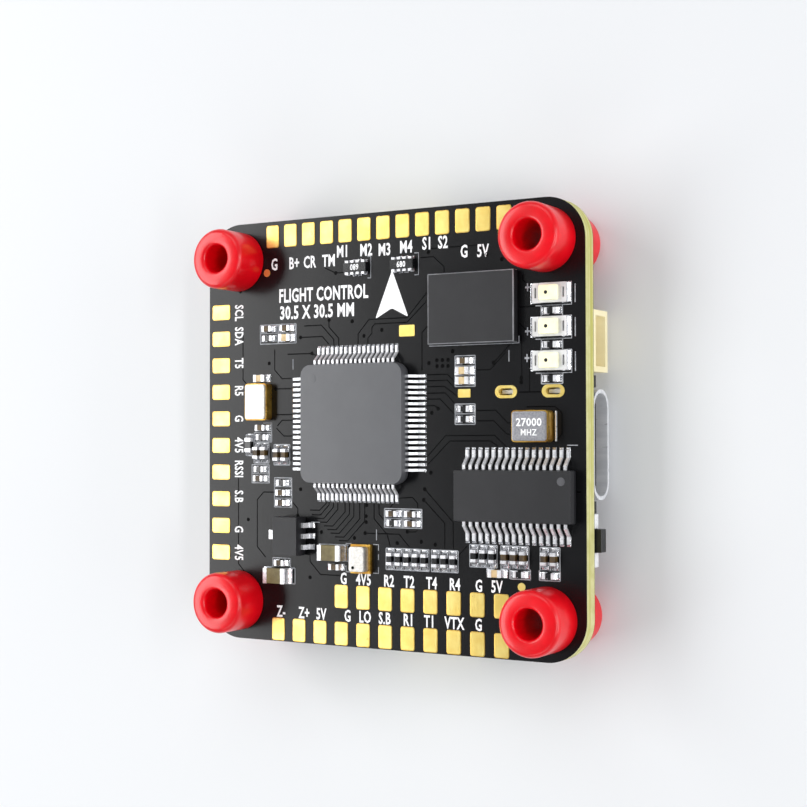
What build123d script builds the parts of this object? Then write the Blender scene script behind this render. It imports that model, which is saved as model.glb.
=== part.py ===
"""Flight controller board for a small multirotor drone.

All sizes are in millimetres. The origin is the centre of the four-hole mounting pattern, on the plane of
the grommets' lower faces, where the board rests. +Z points out of the component side, +Y is the flight
direction that the arrow shows, and +X points out of the USB edge.
"""
import os

from build123d import *

# ---------------------------------------------------------------- driving dimensions: board and grommets
HOLE_PITCH = 30.5
BOARD_WIDTH = 37.36
CORNER_RADIUS = 3.45
BOARD_THICKNESS = 1.6
MASK_THICKNESS = 0.05
GROMMET_HOLE = 4.0
GROMMET_FIT = 0.04
FLANGE_HEIGHT = 3.7
FLANGE_DIAMETER = 5.32
GROMMET_BORE = 2.44
RIM_RADIUS = 0.5
LIP_RADIUS = 0.3

BOARD_BOTTOM = FLANGE_HEIGHT
BOARD_TOP = BOARD_BOTTOM + BOARD_THICKNESS
GROMMET_HEIGHT = BOARD_TOP + FLANGE_HEIGHT
HALF_WIDTH = BOARD_WIDTH / 2

# ---------------------------------------------------------------- driving dimensions: solder pads
PAD_THICKNESS = 0.05
PAD_LONG = 2.0
PAD_SHORT = 1.35
PAD_CORNER = 0.2
TOP_PADS = {"count": 13, "pitch": 1.926, "start": -11.59, "row": 17.32}
LEFT_PADS = {"count": 10, "pitch": 2.4224, "start": 10.77, "row": -17.32}
BOTTOM_PADS = {"count": 11, "pitch": 2.213, "start": -10.95, "row": -17.60}
INNER_PADS = {"count": 8, "pitch": 2.213, "start": -4.311, "row": -14.40}

# ---------------------------------------------------------------- driving dimensions: leaded chips
LEAD_THICKNESS = 0.13
CHIP_STANDOFF = 0.1
MCU_CENTRE = (-2.66, 0.55)
MCU_BODY = 10.4
MCU_TIP_TO_TIP = 13.3
MCU_HEIGHT = 1.25
MCU_LEADS_PER_SIDE = 18
MCU_LEAD_PITCH = 0.466
MCU_LEAD_WIDTH = 0.22
OSD_CENTRE = (12.62, -5.42)
OSD_BODY = (10.62, 4.3)
OSD_TIP_TO_TIP = 7.5
OSD_HEIGHT = 1.2
OSD_LEADS_PER_SIDE = 16
OSD_LEAD_PITCH = 0.607
OSD_LEAD_WIDTH = 0.26
REGULATOR_CENTRE = (-9.24, -9.27)
REGULATOR_BODY = (2.6, 3.4)
REGULATOR_HEIGHT = 1.6
MEMORY_CENTRE = (8.73, 10.02)
MEMORY_BODY = (8.0, 5.9)
MEMORY_HEIGHT = 0.8

# ---------------------------------------------------------------- driving dimensions: cans and lights
MCU_CRYSTAL = {"centre": (-12.9, 2.55), "size": (2.36, 3.28), "height": 0.95}
OSD_CRYSTAL = {"centre": (14.27, 0.23), "size": (3.22, 2.55), "height": 1.25}
CAN_LID_THICKNESS = 0.12
CAN_LID_INSET = 0.09
BAROMETER_CENTRE = (-2.2, -11.06)
LED_COLUMN = 15.7
LED_ROWS = (10.92, 8.22, 5.49)
LED_SIZE = (3.0, 1.58)
LED_TERMINAL = 0.55
LED_NOTCH = (0.86, 0.18)
LED_END_RADIUS = 0.08
LED_LENS = (1.55, 1.22)

# ---------------------------------------------------------------- driving dimensions: chip passives
CHIP_LENGTH = 1.04
CHIP_WIDTH = 0.5
CHIP_CAP = 0.27
CELL_PITCH = 0.85
ARRAY_CENTRES = ((-2.7, 14.03), (1.98, 14.03))
ARRAY_PITCH = 0.55
BULK_CENTRES = ((-5.21, -10.64), (-10.99, -12.87))

# ---------------------------------------------------------------- driving dimensions: underside
USB_CENTRE_Y = -1.27
USB_WIDTH = 8.94
USB_HEIGHT = 3.2
USB_LENGTH = 7.35
USB_WALL = 0.3
USB_CORNER = 1.5
USB_FACE_X = 18.6
USB_SLOT_X = (11.65, 15.86)
USB_SLOT_SPREAD = 8.64
SLOT_HOLE = (1.4, 0.66)
SLOT_RING = (2.0, 1.04)
SLOT_LINING = 0.05
CONNECTOR_DEPTH = 4.25
CONNECTOR_HEIGHT = 2.95
CONNECTOR_PITCH = 1.0
SWITCH_CENTRE_Y = -8.96
SWITCH_FACE_X = 18.6
SWITCH_LENGTH = 3.0
SWITCH_DEPTH = 2.6
SWITCH_HEIGHT = 1.45
PLUNGER_WIDTH = 1.86
PLUNGER_REACH = 0.62
PLUNGER_CLEARANCE = 0.05
PLUNGER_TRAVEL = 0.25

pieces = {}


def top_plane(height=0.0):
    """The plane at a height above the component side."""
    return Plane.XY.offset(BOARD_TOP + height)


def under_plane(x, y, mouth):
    """A plane on the underside: local +Z points away from the board and local +Y out of the mouth."""
    across = {"+X": (0, 1, 0), "+Y": (-1, 0, 0), "-Y": (1, 0, 0)}[mouth]
    return Plane(origin=(x, y, BOARD_BOTTOM), x_dir=across, z_dir=(0, 0, -1))


def row_points(row, along_x):
    """The centres of a straight row of pads."""
    steps = [row["start"] + (1 if along_x else -1) * row["pitch"] * i for i in range(row["count"])]
    return [(step, row["row"]) if along_x else (row["row"], step) for step in steps]


def cell_column(x, top, count, pitch=CELL_PITCH):
    """The centres of chips lying one below the other."""
    return [(x, top - pitch * i) for i in range(count)]


def cell_row(left, y, count, pitch=CELL_PITCH):
    """The centres of chips standing side by side."""
    return [(left + pitch * i, y) for i in range(count)]


# ================================================================ board
def board_layer(bottom, thickness):
    """One layer of the board: the rounded outline less the mounting holes and the USB slots."""
    with BuildPart() as layer:
        with BuildSketch(Plane.XY.offset(bottom)):
            RectangleRounded(BOARD_WIDTH, BOARD_WIDTH, CORNER_RADIUS)
            with GridLocations(HOLE_PITCH, HOLE_PITCH, 2, 2):
                Circle(GROMMET_HOLE / 2, mode=Mode.SUBTRACT)
            with Locations(*slot_centres):
                SlotOverall(*SLOT_HOLE, mode=Mode.SUBTRACT)
        extrude(amount=thickness)
    return layer


slot_centres = [
    (x, USB_CENTRE_Y + side * USB_SLOT_SPREAD / 2) for x in USB_SLOT_X for side in (-1, 1)
]
pieces["pcb_laminate"] = board_layer(BOARD_BOTTOM + MASK_THICKNESS, BOARD_THICKNESS - 2 * MASK_THICKNESS)
pieces["solder_mask_top"] = board_layer(BOARD_TOP - MASK_THICKNESS, MASK_THICKNESS)
pieces["solder_mask_bottom"] = board_layer(BOARD_BOTTOM, MASK_THICKNESS)


def pad_group(points, size):
    """Gold pads that stand a little proud of the solder mask."""
    with BuildPart() as pads:
        with BuildSketch(top_plane()):
            with Locations(*points):
                RectangleRounded(*size, PAD_CORNER)
        extrude(amount=PAD_THICKNESS)
    return pads


pieces["pads_front_edge"] = pad_group(row_points(TOP_PADS, True), (PAD_SHORT, PAD_LONG))
pieces["pads_left_edge"] = pad_group(row_points(LEFT_PADS, False), (PAD_LONG, PAD_SHORT))
pieces["pads_rear_edge"] = pad_group(
    row_points(BOTTOM_PADS, True) + row_points(INNER_PADS, True), (PAD_SHORT, PAD_LONG)
)

with BuildPart() as test_pads:
    with BuildSketch(top_plane()):
        with Locations((2.31, 8.39)):
            RectangleRounded(1.52, 0.97, 0.12)
        with Locations((7.8, 2.99)):
            RectangleRounded(1.16, 0.7, 0.08)
        with Locations((-12.22, 14.1), (13.0, -12.75)):
            Circle(0.34)
    extrude(amount=PAD_THICKNESS)
pieces["test_pads"] = test_pads

with BuildPart() as usb_slot_plating:
    with BuildSketch(Plane.XY.offset(BOARD_BOTTOM)):
        with Locations(*slot_centres):
            SlotOverall(*SLOT_HOLE)
            SlotOverall(SLOT_HOLE[0] - 2 * SLOT_LINING, SLOT_HOLE[1] - 2 * SLOT_LINING, mode=Mode.SUBTRACT)
    extrude(amount=BOARD_THICKNESS)
    with BuildSketch(top_plane()):
        with Locations(*slot_centres):
            SlotOverall(*SLOT_RING)
            SlotOverall(SLOT_HOLE[0] - 2 * SLOT_LINING, SLOT_HOLE[1] - 2 * SLOT_LINING, mode=Mode.SUBTRACT)
    extrude(amount=PAD_THICKNESS)
pieces["usb_slot_plating"] = usb_slot_plating


# ================================================================ grommets
def grommet(x, y):
    """A soft bobbin: two crowned flanges joined by a neck that fills the mounting hole."""
    neck = (GROMMET_HOLE - GROMMET_FIT) / 2
    flange = FLANGE_DIAMETER / 2
    bore = GROMMET_BORE / 2
    with BuildPart() as bobbin:
        with BuildSketch(Plane(origin=(x, y, 0), x_dir=(1, 0, 0), z_dir=(0, -1, 0))) as profile:
            with BuildLine():
                Polyline(
                    (bore, 0), (flange, 0), (flange, BOARD_BOTTOM), (neck, BOARD_BOTTOM), (neck, BOARD_TOP),
                    (flange, BOARD_TOP), (flange, GROMMET_HEIGHT), (bore, GROMMET_HEIGHT), close=True,
                )
            make_face()
            ends = profile.vertices().group_by(Axis.Y)
            fillet([ends[0].sort_by(Axis.X)[-1], ends[-1].sort_by(Axis.X)[-1]], RIM_RADIUS)
            fillet(profile.vertices().sort_by(Axis.X)[:2], LIP_RADIUS)
        revolve(axis=Axis((x, y, 0), (0, 0, 1)))
    return bobbin


for end_name, end_sign in (("front", 1), ("rear", -1)):
    for side_name, side_sign in (("left", -1), ("right", 1)):
        pieces[f"grommet_{end_name}_{side_name}"] = grommet(
            side_sign * HOLE_PITCH / 2, end_sign * HOLE_PITCH / 2
        )


# ================================================================ leaded chips
def moulded_body(centre, size, height, corner, plane=None, taper=9.0):
    """A moulded chip body: two drafted halves that meet where the leads come out."""
    half = (height - CHIP_STANDOFF) / 2
    middle = (plane or top_plane()).offset(CHIP_STANDOFF + half)
    with BuildPart() as body:
        for amount in (half, -half):
            with BuildSketch(middle):
                with Locations(centre):
                    RectangleRounded(*size, corner)
            extrude(amount=amount, taper=taper)
    return body


def gull_lead(reach, foot, exit_height, width):
    """One bent lead on the XY plane's edge: it leaves the body at x = 0 and stands on z = 0."""
    shoulder = 0.28 * (reach - foot) + 0.06
    heel = reach - foot
    with BuildPart() as lead:
        with BuildSketch(Plane.XZ):
            with BuildLine():
                Polyline(
                    (0, exit_height - LEAD_THICKNESS / 2),
                    (shoulder - LEAD_THICKNESS / 2, exit_height - LEAD_THICKNESS / 2),
                    (heel - LEAD_THICKNESS / 2, 0),
                    (reach, 0),
                    (reach, LEAD_THICKNESS),
                    (heel + LEAD_THICKNESS / 3, LEAD_THICKNESS),
                    (shoulder + LEAD_THICKNESS / 3, exit_height + LEAD_THICKNESS / 2),
                    (0, exit_height + LEAD_THICKNESS / 2),
                    close=True,
                )
            make_face()
        extrude(amount=width / 2, both=True)
    return lead


mcu_exit = (MCU_HEIGHT + CHIP_STANDOFF) / 2
pieces["mcu_body"] = moulded_body(MCU_CENTRE, (MCU_BODY, MCU_BODY), MCU_HEIGHT, 1.05)
mcu_lead = gull_lead((MCU_TIP_TO_TIP - MCU_BODY) / 2, 0.62, mcu_exit, MCU_LEAD_WIDTH)
with BuildPart() as mcu_leads:
    with Locations((*MCU_CENTRE, BOARD_TOP)):
        with PolarLocations(0, 4):
            with Locations((MCU_BODY / 2, 0, 0)):
                with GridLocations(0, MCU_LEAD_PITCH, 1, MCU_LEADS_PER_SIDE):
                    add(mcu_lead.part)
pieces["mcu_leads"] = mcu_leads

osd_exit = (OSD_HEIGHT + CHIP_STANDOFF) / 2
pieces["osd_chip_body"] = moulded_body(OSD_CENTRE, OSD_BODY, OSD_HEIGHT, 0.12)
osd_lead = gull_lead((OSD_TIP_TO_TIP - OSD_BODY[1]) / 2, 0.66, osd_exit, OSD_LEAD_WIDTH)
with BuildPart() as osd_chip_leads:
    with Locations((*OSD_CENTRE, BOARD_TOP)):
        with PolarLocations(0, 2, start_angle=90):
            with Locations((OSD_BODY[1] / 2, 0, 0)):
                with GridLocations(0, OSD_LEAD_PITCH, 1, OSD_LEADS_PER_SIDE):
                    add(osd_lead.part)
pieces["osd_chip_leads"] = osd_chip_leads

regulator_exit = (REGULATOR_HEIGHT + CHIP_STANDOFF) / 2
pieces["regulator_body"] = moulded_body(REGULATOR_CENTRE, REGULATOR_BODY, REGULATOR_HEIGHT, 0.08, taper=4.0)
wide_lead = gull_lead(1.4, 0.7, regulator_exit, 0.8)
narrow_lead = gull_lead(0.75, 0.35, regulator_exit, 0.42)
with BuildPart() as regulator_leads:
    with Locations((REGULATOR_CENTRE[0] - REGULATOR_BODY[0] / 2, REGULATOR_CENTRE[1], BOARD_TOP)):
        with PolarLocations(0, 1, start_angle=180):
            add(wide_lead.part)
    with Locations((REGULATOR_CENTRE[0] + REGULATOR_BODY[0] / 2, REGULATOR_CENTRE[1], BOARD_TOP)):
        with GridLocations(0, 0.95, 1, 3):
            add(narrow_lead.part)
pieces["regulator_leads"] = regulator_leads

MEMORY_LAND = (0.5, 0.42, 0.05)
with BuildPart(top_plane(MEMORY_LAND[2])) as memory_chip_body:
    with Locations(MEMORY_CENTRE):
        Box(*MEMORY_BODY, MEMORY_HEIGHT - MEMORY_LAND[2], align=(Align.CENTER, Align.CENTER, Align.MIN))
    chamfer(memory_chip_body.edges().group_by(Axis.Z)[-1], 0.06)
pieces["memory_chip_body"] = memory_chip_body
with BuildPart(top_plane()) as memory_chip_lands:
    with Locations(MEMORY_CENTRE):
        with GridLocations(MEMORY_BODY[0] - MEMORY_LAND[0] - 0.1, 1.27, 2, 4):
            Box(*MEMORY_LAND, align=(Align.CENTER, Align.CENTER, Align.MIN))
pieces["memory_chip_lands"] = memory_chip_lands


# ================================================================ metal cans
def crystal(spec):
    """A crystal's gold-plated can and the steel lid that closes it."""
    lid_size = [side - 2 * CAN_LID_INSET for side in spec["size"]]
    with BuildPart() as can:
        with BuildSketch(top_plane()):
            with Locations(spec["centre"]):
                RectangleRounded(*spec["size"], 0.3)
        extrude(amount=spec["height"] - CAN_LID_THICKNESS)
    with BuildPart() as lid:
        with BuildSketch(top_plane(spec["height"] - CAN_LID_THICKNESS)):
            with Locations(spec["centre"]):
                RectangleRounded(*lid_size, 0.26)
        extrude(amount=CAN_LID_THICKNESS)
        fillet(lid.edges().group_by(Axis.Z)[-1], 0.05)
    return can, lid


pieces["mcu_crystal_can"], pieces["mcu_crystal_lid"] = crystal(MCU_CRYSTAL)
pieces["osd_crystal_can"], pieces["osd_crystal_lid"] = crystal(OSD_CRYSTAL)

BAROMETER_BASE = (2.0, 2.5, 0.3)
BAROMETER_LID = (1.58, 2.14, 0.65)
with BuildPart(top_plane()) as barometer_base:
    with Locations(BAROMETER_CENTRE):
        Box(*BAROMETER_BASE, align=(Align.CENTER, Align.CENTER, Align.MIN))
pieces["barometer_base"] = barometer_base
with BuildPart(top_plane(BAROMETER_BASE[2])) as barometer_lid:
    with Locations(BAROMETER_CENTRE):
        Box(*BAROMETER_LID, align=(Align.CENTER, Align.CENTER, Align.MIN))
    fillet(barometer_lid.edges().filter_by(Axis.Z), 0.14)
    fillet(barometer_lid.edges().group_by(Axis.Z)[-1], 0.06)
    with Locations((BAROMETER_CENTRE[0] - 0.38, BAROMETER_CENTRE[1] - 0.72, BAROMETER_LID[2])):
        Hole(0.12, depth=0.4)
pieces["barometer_lid"] = barometer_lid

# ================================================================ status lights
led_centres = [(LED_COLUMN, row) for row in LED_ROWS]
LED_BASE_HEIGHT = 0.36
with BuildPart(top_plane()) as led_bases:
    with Locations(*led_centres):
        Box(LED_SIZE[0] - 2 * LED_TERMINAL, LED_SIZE[1], LED_BASE_HEIGHT,
            align=(Align.CENTER, Align.CENTER, Align.MIN))
pieces["led_bases"] = led_bases

with BuildPart() as led_terminals:
    with BuildSketch(top_plane()):
        with Locations(*led_centres):
            with GridLocations(LED_SIZE[0] - LED_TERMINAL, 0, 2, 1):
                Rectangle(LED_TERMINAL, LED_SIZE[1])
            with GridLocations(LED_SIZE[0] - LED_TERMINAL, 0, 2, 1):
                SlotOverall(*LED_NOTCH, rotation=90, mode=Mode.SUBTRACT)
    extrude(amount=LED_BASE_HEIGHT + 0.04)
    led_uprights = led_terminals.edges().filter_by(Axis.Z).filter_by(GeomType.LINE).group_by(Axis.X)
    fillet(led_uprights[0] + led_uprights[-1], LED_END_RADIUS)
pieces["led_terminals"] = led_terminals

with BuildPart(top_plane(LED_BASE_HEIGHT)) as led_lens_master:
    Box(*LED_LENS, 0.42, align=(Align.CENTER, Align.CENTER, Align.MIN))
    fillet(led_lens_master.edges().filter_by(Axis.Z), 0.05)
    fillet(led_lens_master.edges().group_by(Axis.Z)[-1], 0.04)
with BuildPart() as led_lenses:
    with Locations(*[(x, y, 0) for x, y in led_centres]):
        add(led_lens_master.part)
pieces["led_lenses"] = led_lenses


# ================================================================ chip passives
def chip_masters(length, width, height, cap, rim=0.05):
    """The body and the pair of end caps of one chip, centred on the XY plane."""
    with BuildPart() as body:
        Box(length - 2 * cap, width - 0.04, height - 0.03, align=(Align.CENTER, Align.CENTER, Align.MIN))
    with BuildPart() as caps:
        with GridLocations(length - cap, 0, 2, 1):
            Box(cap, width, height, align=(Align.CENTER, Align.CENTER, Align.MIN))
        outer = caps.faces().sort_by(Axis.X)
        fillet(outer[0].edges() + outer[-1].edges(), rim)
    return body, caps


def place(master, flat, upright, base):
    """Copies of one chip: those that lie along X, then those that stand along Y."""
    with BuildPart() as group:
        if flat:
            with Locations(*[(x, y, base) for x, y in flat]):
                add(master.part)
        if upright:
            with Locations(*[Location((x, y, base), (0, 0, 90)) for x, y in upright]):
                add(master.part)
    return group


resistor_flat = [(-12.0, 8.22), (-12.7, -0.61), (-12.93, -3.47), (-10.48, -4.65), (0.96, -7.91)]
resistor_flat += cell_column(7.86, 1.7, 2) + [(15.74, 9.49), (15.74, 6.77), (15.74, 4.05)]
resistor_flat += [(12.87, -11.74), (15.48, -11.74)]
resistor_upright = cell_row(0.64, -10.96, 5, 0.84) + cell_row(5.05, -10.96, 3) + cell_row(8.7, -10.4, 3, 0.84)
capacitor_flat = [(-12.0, 9.07), (-10.02, 9.07), (-12.93, -4.28), (-10.48, -6.4), (-10.64, -11.74)]
capacitor_flat += [(0.96, -7.11), (2.8, -7.11), (2.8, -7.91), (7.86, 5.68), (-4.85, -11.86), (-10.48, -5.52)]
capacitor_flat += [(-12.72, 0.24)]
capacitor_upright = [(-13.26, -2.0), (-12.43, -2.0), (-11.03, -2.17), (-10.19, -2.17)]
capacitor_upright += cell_row(11.55, -10.4, 3, 0.84) + cell_row(15.09, -10.4, 2)
pale_capacitor_flat = [(-10.02, 8.22), (-12.78, 4.66), (7.82, 4.86), (7.82, 4.04), (10.78, -11.74)]

resistor_body, resistor_caps = chip_masters(CHIP_LENGTH, CHIP_WIDTH, 0.36, CHIP_CAP)
capacitor_body, capacitor_caps = chip_masters(CHIP_LENGTH, CHIP_WIDTH, 0.5, CHIP_CAP)
pale_body, pale_caps = chip_masters(1.2, 0.62, 0.58, 0.33)
bulk_body, bulk_caps = chip_masters(2.36, 1.36, 0.8, 0.44, 0.09)
diode_body, diode_caps = chip_masters(1.3, 0.62, 0.45, 0.34)
diode_upright = [(-14.08, -1.3)]
pieces["chip_resistor_bodies"] = place(resistor_body, resistor_flat, resistor_upright, BOARD_TOP)
pieces["chip_capacitor_bodies"] = place(capacitor_body, capacitor_flat, capacitor_upright, BOARD_TOP)
pieces["pale_capacitor_bodies"] = place(pale_body, pale_capacitor_flat, [], BOARD_TOP)
pieces["bulk_capacitor_bodies"] = place(bulk_body, BULK_CENTRES, [], BOARD_TOP)
pieces["diode_body"] = place(diode_body, [], diode_upright, BOARD_TOP)
with BuildPart() as chip_terminals:
    add(place(resistor_caps, resistor_flat, resistor_upright, BOARD_TOP).part)
    add(place(capacitor_caps, capacitor_flat, capacitor_upright, BOARD_TOP).part)
    add(place(pale_caps, pale_capacitor_flat, [], BOARD_TOP).part)
    add(place(bulk_caps, BULK_CENTRES, [], BOARD_TOP).part)
    add(place(diode_caps, [], diode_upright, BOARD_TOP).part)
pieces["chip_terminals"] = chip_terminals

ARRAY_BODY = (2.24, 0.82, 0.45)
ARRAY_TERMINAL = (0.32, 0.2, 0.42)
with BuildPart(top_plane()) as resistor_array_bodies:
    with Locations(*ARRAY_CENTRES):
        Box(*ARRAY_BODY, align=(Align.CENTER, Align.CENTER, Align.MIN))
pieces["resistor_array_bodies"] = resistor_array_bodies
with BuildPart(top_plane()) as resistor_array_terminals:
    with Locations(*ARRAY_CENTRES):
        with GridLocations(ARRAY_PITCH, ARRAY_BODY[1] + ARRAY_TERMINAL[1], 4, 2):
            Box(*ARRAY_TERMINAL, align=(Align.CENTER, Align.CENTER, Align.MIN))
pieces["resistor_array_terminals"] = resistor_array_terminals

# ================================================================ USB receptacle on the underside
usb_plane = under_plane(USB_FACE_X, USB_CENTRE_Y, "+X")
usb_axis_height = USB_HEIGHT / 2
USB_TAB = (0.3, 1.15)
USB_TAB_SHORT_OF_TOP = 0.45

usb_mouth = Plane(origin=(USB_FACE_X, USB_CENTRE_Y, BOARD_BOTTOM - usb_axis_height),
                  x_dir=(0, 1, 0), z_dir=(1, 0, 0))
USB_PLUG_DEPTH = 6.2
usb_inside = (USB_WIDTH - 2 * USB_WALL, USB_HEIGHT - 2 * USB_WALL, USB_CORNER - USB_WALL)
with BuildPart() as usb_c_shell:
    with BuildSketch(usb_mouth):
        RectangleRounded(USB_WIDTH, USB_HEIGHT, USB_CORNER)
        RectangleRounded(*usb_inside, mode=Mode.SUBTRACT)
    extrude(amount=-USB_LENGTH)
    for slot_x, slot_y in slot_centres:
        side = 1 if slot_y > USB_CENTRE_Y else -1
        with BuildSketch(Plane.XY.offset(BOARD_BOTTOM - usb_axis_height)):
            with Locations((slot_x, USB_CENTRE_Y + side * (USB_WIDTH - USB_TAB[0]) / 2)):
                Rectangle(USB_TAB[1], USB_TAB[0])
        extrude(amount=usb_axis_height + BOARD_THICKNESS - USB_TAB_SHORT_OF_TOP)
pieces["usb_c_shell"] = usb_c_shell

USB_TONGUE = (6.69, 0.7)
USB_TONGUE_REACH = 5.6
USB_CONTACT = (0.26, 4.2, 0.03)
with BuildPart() as usb_c_tongue:
    with BuildSketch(usb_mouth.offset(-USB_PLUG_DEPTH)):
        RectangleRounded(*usb_inside)
    extrude(amount=-(USB_LENGTH - USB_PLUG_DEPTH))
    with BuildSketch(usb_mouth.offset(-USB_PLUG_DEPTH)):
        Rectangle(*USB_TONGUE)
    extrude(amount=USB_TONGUE_REACH)
pieces["usb_c_tongue"] = usb_c_tongue
USB_TAIL = (0.9, 0.3, 0.16)
with BuildPart() as usb_c_contacts:
    with Locations(usb_mouth.offset(-(USB_PLUG_DEPTH - USB_TONGUE_REACH / 2))):
        with GridLocations(0.5, USB_TONGUE[1] + USB_CONTACT[2], 12, 2):
            Box(USB_CONTACT[0], USB_CONTACT[2], USB_CONTACT[1])
    with Locations((USB_FACE_X - USB_LENGTH, USB_CENTRE_Y, BOARD_BOTTOM)):
        with GridLocations(0, 0.5, 1, 12):
            Box(*USB_TAIL, align=(Align.MAX, Align.CENTER, Align.MAX))
pieces["usb_c_contacts"] = usb_c_contacts


# ================================================================ wire connectors on the underside
CAVITY_DEPTH = 2.9
CAVITY_HEIGHT = 1.95
CAVITY_WALL = 0.45
PIN_SECTION = 0.26
PIN_HEIGHT = 1.35
PIN_REACH = 2.2
TAIL_REACH = 0.7
ANCHOR = (0.12, 1.5, 1.3)


def connector_width(ways):
    """The housing's width for a number of pins."""
    return (ways - 1) * CONNECTOR_PITCH + 3.0


def connector_housing(plane, ways):
    """A side-entry housing whose mouth faces the plane's +Y, flush with its origin."""
    width = connector_width(ways)
    rear = -CONNECTOR_DEPTH
    with BuildPart(plane) as housing:
        with Locations((0, rear / 2)):
            Box(width, CONNECTOR_DEPTH, CONNECTOR_HEIGHT, align=(Align.CENTER, Align.CENTER, Align.MIN))
        with Locations((0, -CAVITY_DEPTH / 2, CONNECTOR_HEIGHT - CAVITY_WALL)):
            Box(width - 2 * CAVITY_WALL, CAVITY_DEPTH, CAVITY_HEIGHT,
                align=(Align.CENTER, Align.CENTER, Align.MAX), mode=Mode.SUBTRACT)
        with Locations((0, -(CAVITY_DEPTH + CONNECTOR_DEPTH) / 2, PIN_HEIGHT)):
            with GridLocations(CONNECTOR_PITCH, 0, ways, 1):
                Box(PIN_SECTION, CONNECTOR_DEPTH - CAVITY_DEPTH, PIN_SECTION, mode=Mode.SUBTRACT)
        with Locations((0, rear, 0)):
            Box(width - 1.2, 0.5, PIN_HEIGHT + 0.4, align=(Align.CENTER, Align.MIN, Align.MIN),
                mode=Mode.SUBTRACT)
    return housing


def connector_pins(plane, ways):
    """The bent contacts, from the mouth to their solder tails, and the two tabs that anchor the housing."""
    rear = -CONNECTOR_DEPTH
    tip = -CAVITY_DEPTH + PIN_REACH
    with BuildPart(plane) as pins:
        with GridLocations(CONNECTOR_PITCH, 0, ways, 1):
            with Locations((0, tip, PIN_HEIGHT)):
                Box(PIN_SECTION, tip - rear - 0.1, PIN_SECTION, align=(Align.CENTER, Align.MAX, Align.CENTER))
            with Locations((0, rear + 0.1, PIN_HEIGHT + PIN_SECTION / 2)):
                Box(PIN_SECTION, 0.2, PIN_HEIGHT + PIN_SECTION / 2, align=(Align.CENTER, Align.MIN, Align.MAX))
            with Locations((0, rear + 0.3, 0)):
                Box(PIN_SECTION, TAIL_REACH, 0.16, align=(Align.CENTER, Align.MAX, Align.MIN))
        with Locations((0, -1.3)):
            with GridLocations(connector_width(ways) + ANCHOR[0], 0, 2, 1):
                Box(*ANCHOR, align=(Align.CENTER, Align.CENTER, Align.MIN))
    return pins


CONNECTORS = {
    "signal_connector": (under_plane(18.62, 7.1, "+X"), 3),
    "esc_connector": (under_plane(-1.5, 18.5, "+Y"), 8),
    "video_connector": (under_plane(2.5, -18.5, "-Y"), 6),
}
for name, (plane, ways) in CONNECTORS.items():
    pieces[f"{name}_housing"] = connector_housing(plane, ways)
    pieces[f"{name}_pins"] = connector_pins(plane, ways)

# ================================================================ boot button on the underside
switch_plane = under_plane(SWITCH_FACE_X, SWITCH_CENTRE_Y, "+X")
COVER_THICKNESS = 0.3
COVER_HEIGHT = 0.95
COVER_END = (0.62, 1.9)
FRONT_WALL = 0.2
POCKET_DEPTH = 1.15
POCKET_FLOOR = 0.12
POCKET_HEIGHT = 1.08
STEM_HEIGHT = 0.93
HEAD_DEPTH = 0.4
HEAD_SPREAD = 0.3
DOME_DEPTH = 0.3
pocket_width = PLUNGER_WIDTH + HEAD_SPREAD + 0.2
pocket_middle = POCKET_FLOOR + POCKET_HEIGHT / 2
pocket_front = -COVER_THICKNESS - FRONT_WALL
stem_opening = PLUNGER_WIDTH + 2 * PLUNGER_CLEARANCE

with BuildPart(switch_plane) as boot_switch_base:
    with Locations((0, -COVER_THICKNESS)):
        Box(SWITCH_LENGTH, SWITCH_DEPTH - COVER_THICKNESS, SWITCH_HEIGHT,
            align=(Align.CENTER, Align.MAX, Align.MIN))
    with Locations((0, pocket_front, pocket_middle)):
        Box(pocket_width, POCKET_DEPTH, POCKET_HEIGHT, align=(Align.CENTER, Align.MAX, Align.CENTER),
            mode=Mode.SUBTRACT)
        Box(stem_opening, FRONT_WALL, STEM_HEIGHT + 2 * PLUNGER_CLEARANCE,
            align=(Align.CENTER, Align.MIN, Align.CENTER), mode=Mode.SUBTRACT)
pieces["boot_switch_base"] = boot_switch_base

cover_spread = SWITCH_LENGTH / 2 + COVER_END[0]
front_strip = cover_spread - stem_opening / 2
with BuildPart(switch_plane) as boot_switch_cover:
    with GridLocations(SWITCH_LENGTH + COVER_END[0], 0, 2, 1):
        Box(*COVER_END, COVER_HEIGHT, align=(Align.CENTER, Align.MAX, Align.MIN))
    with GridLocations(stem_opening + front_strip, 0, 2, 1):
        Box(front_strip, COVER_THICKNESS, COVER_HEIGHT, align=(Align.CENTER, Align.MAX, Align.MIN))
pieces["boot_switch_cover"] = boot_switch_cover

with BuildPart(switch_plane) as boot_switch_dome:
    with Locations((0, pocket_front - POCKET_DEPTH, pocket_middle)):
        Box(1.6, 0.08, 0.8, align=(Align.CENTER, Align.MIN, Align.CENTER))
        Box(0.8, DOME_DEPTH, 0.6, align=(Align.CENTER, Align.MIN, Align.CENTER))
    fillet(boot_switch_dome.faces().sort_by(Axis.X)[-1].edges(), 0.1)
pieces["boot_switch_dome"] = boot_switch_dome

head_front = pocket_front - PLUNGER_CLEARANCE / 2
with BuildPart(switch_plane) as boot_switch_plunger:
    with Locations((0, head_front, pocket_middle)):
        Box(PLUNGER_WIDTH + HEAD_SPREAD, HEAD_DEPTH, STEM_HEIGHT,
            align=(Align.CENTER, Align.MAX, Align.CENTER))
    with Locations((0, head_front - HEAD_DEPTH / 2, pocket_middle)):
        Box(PLUNGER_WIDTH, PLUNGER_REACH - head_front + HEAD_DEPTH / 2, STEM_HEIGHT,
            align=(Align.CENTER, Align.MIN, Align.CENTER))
    fillet(boot_switch_plunger.faces().sort_by(Axis.X)[-1].edges(), 0.12)
pieces["boot_switch_plunger"] = boot_switch_plunger


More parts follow.
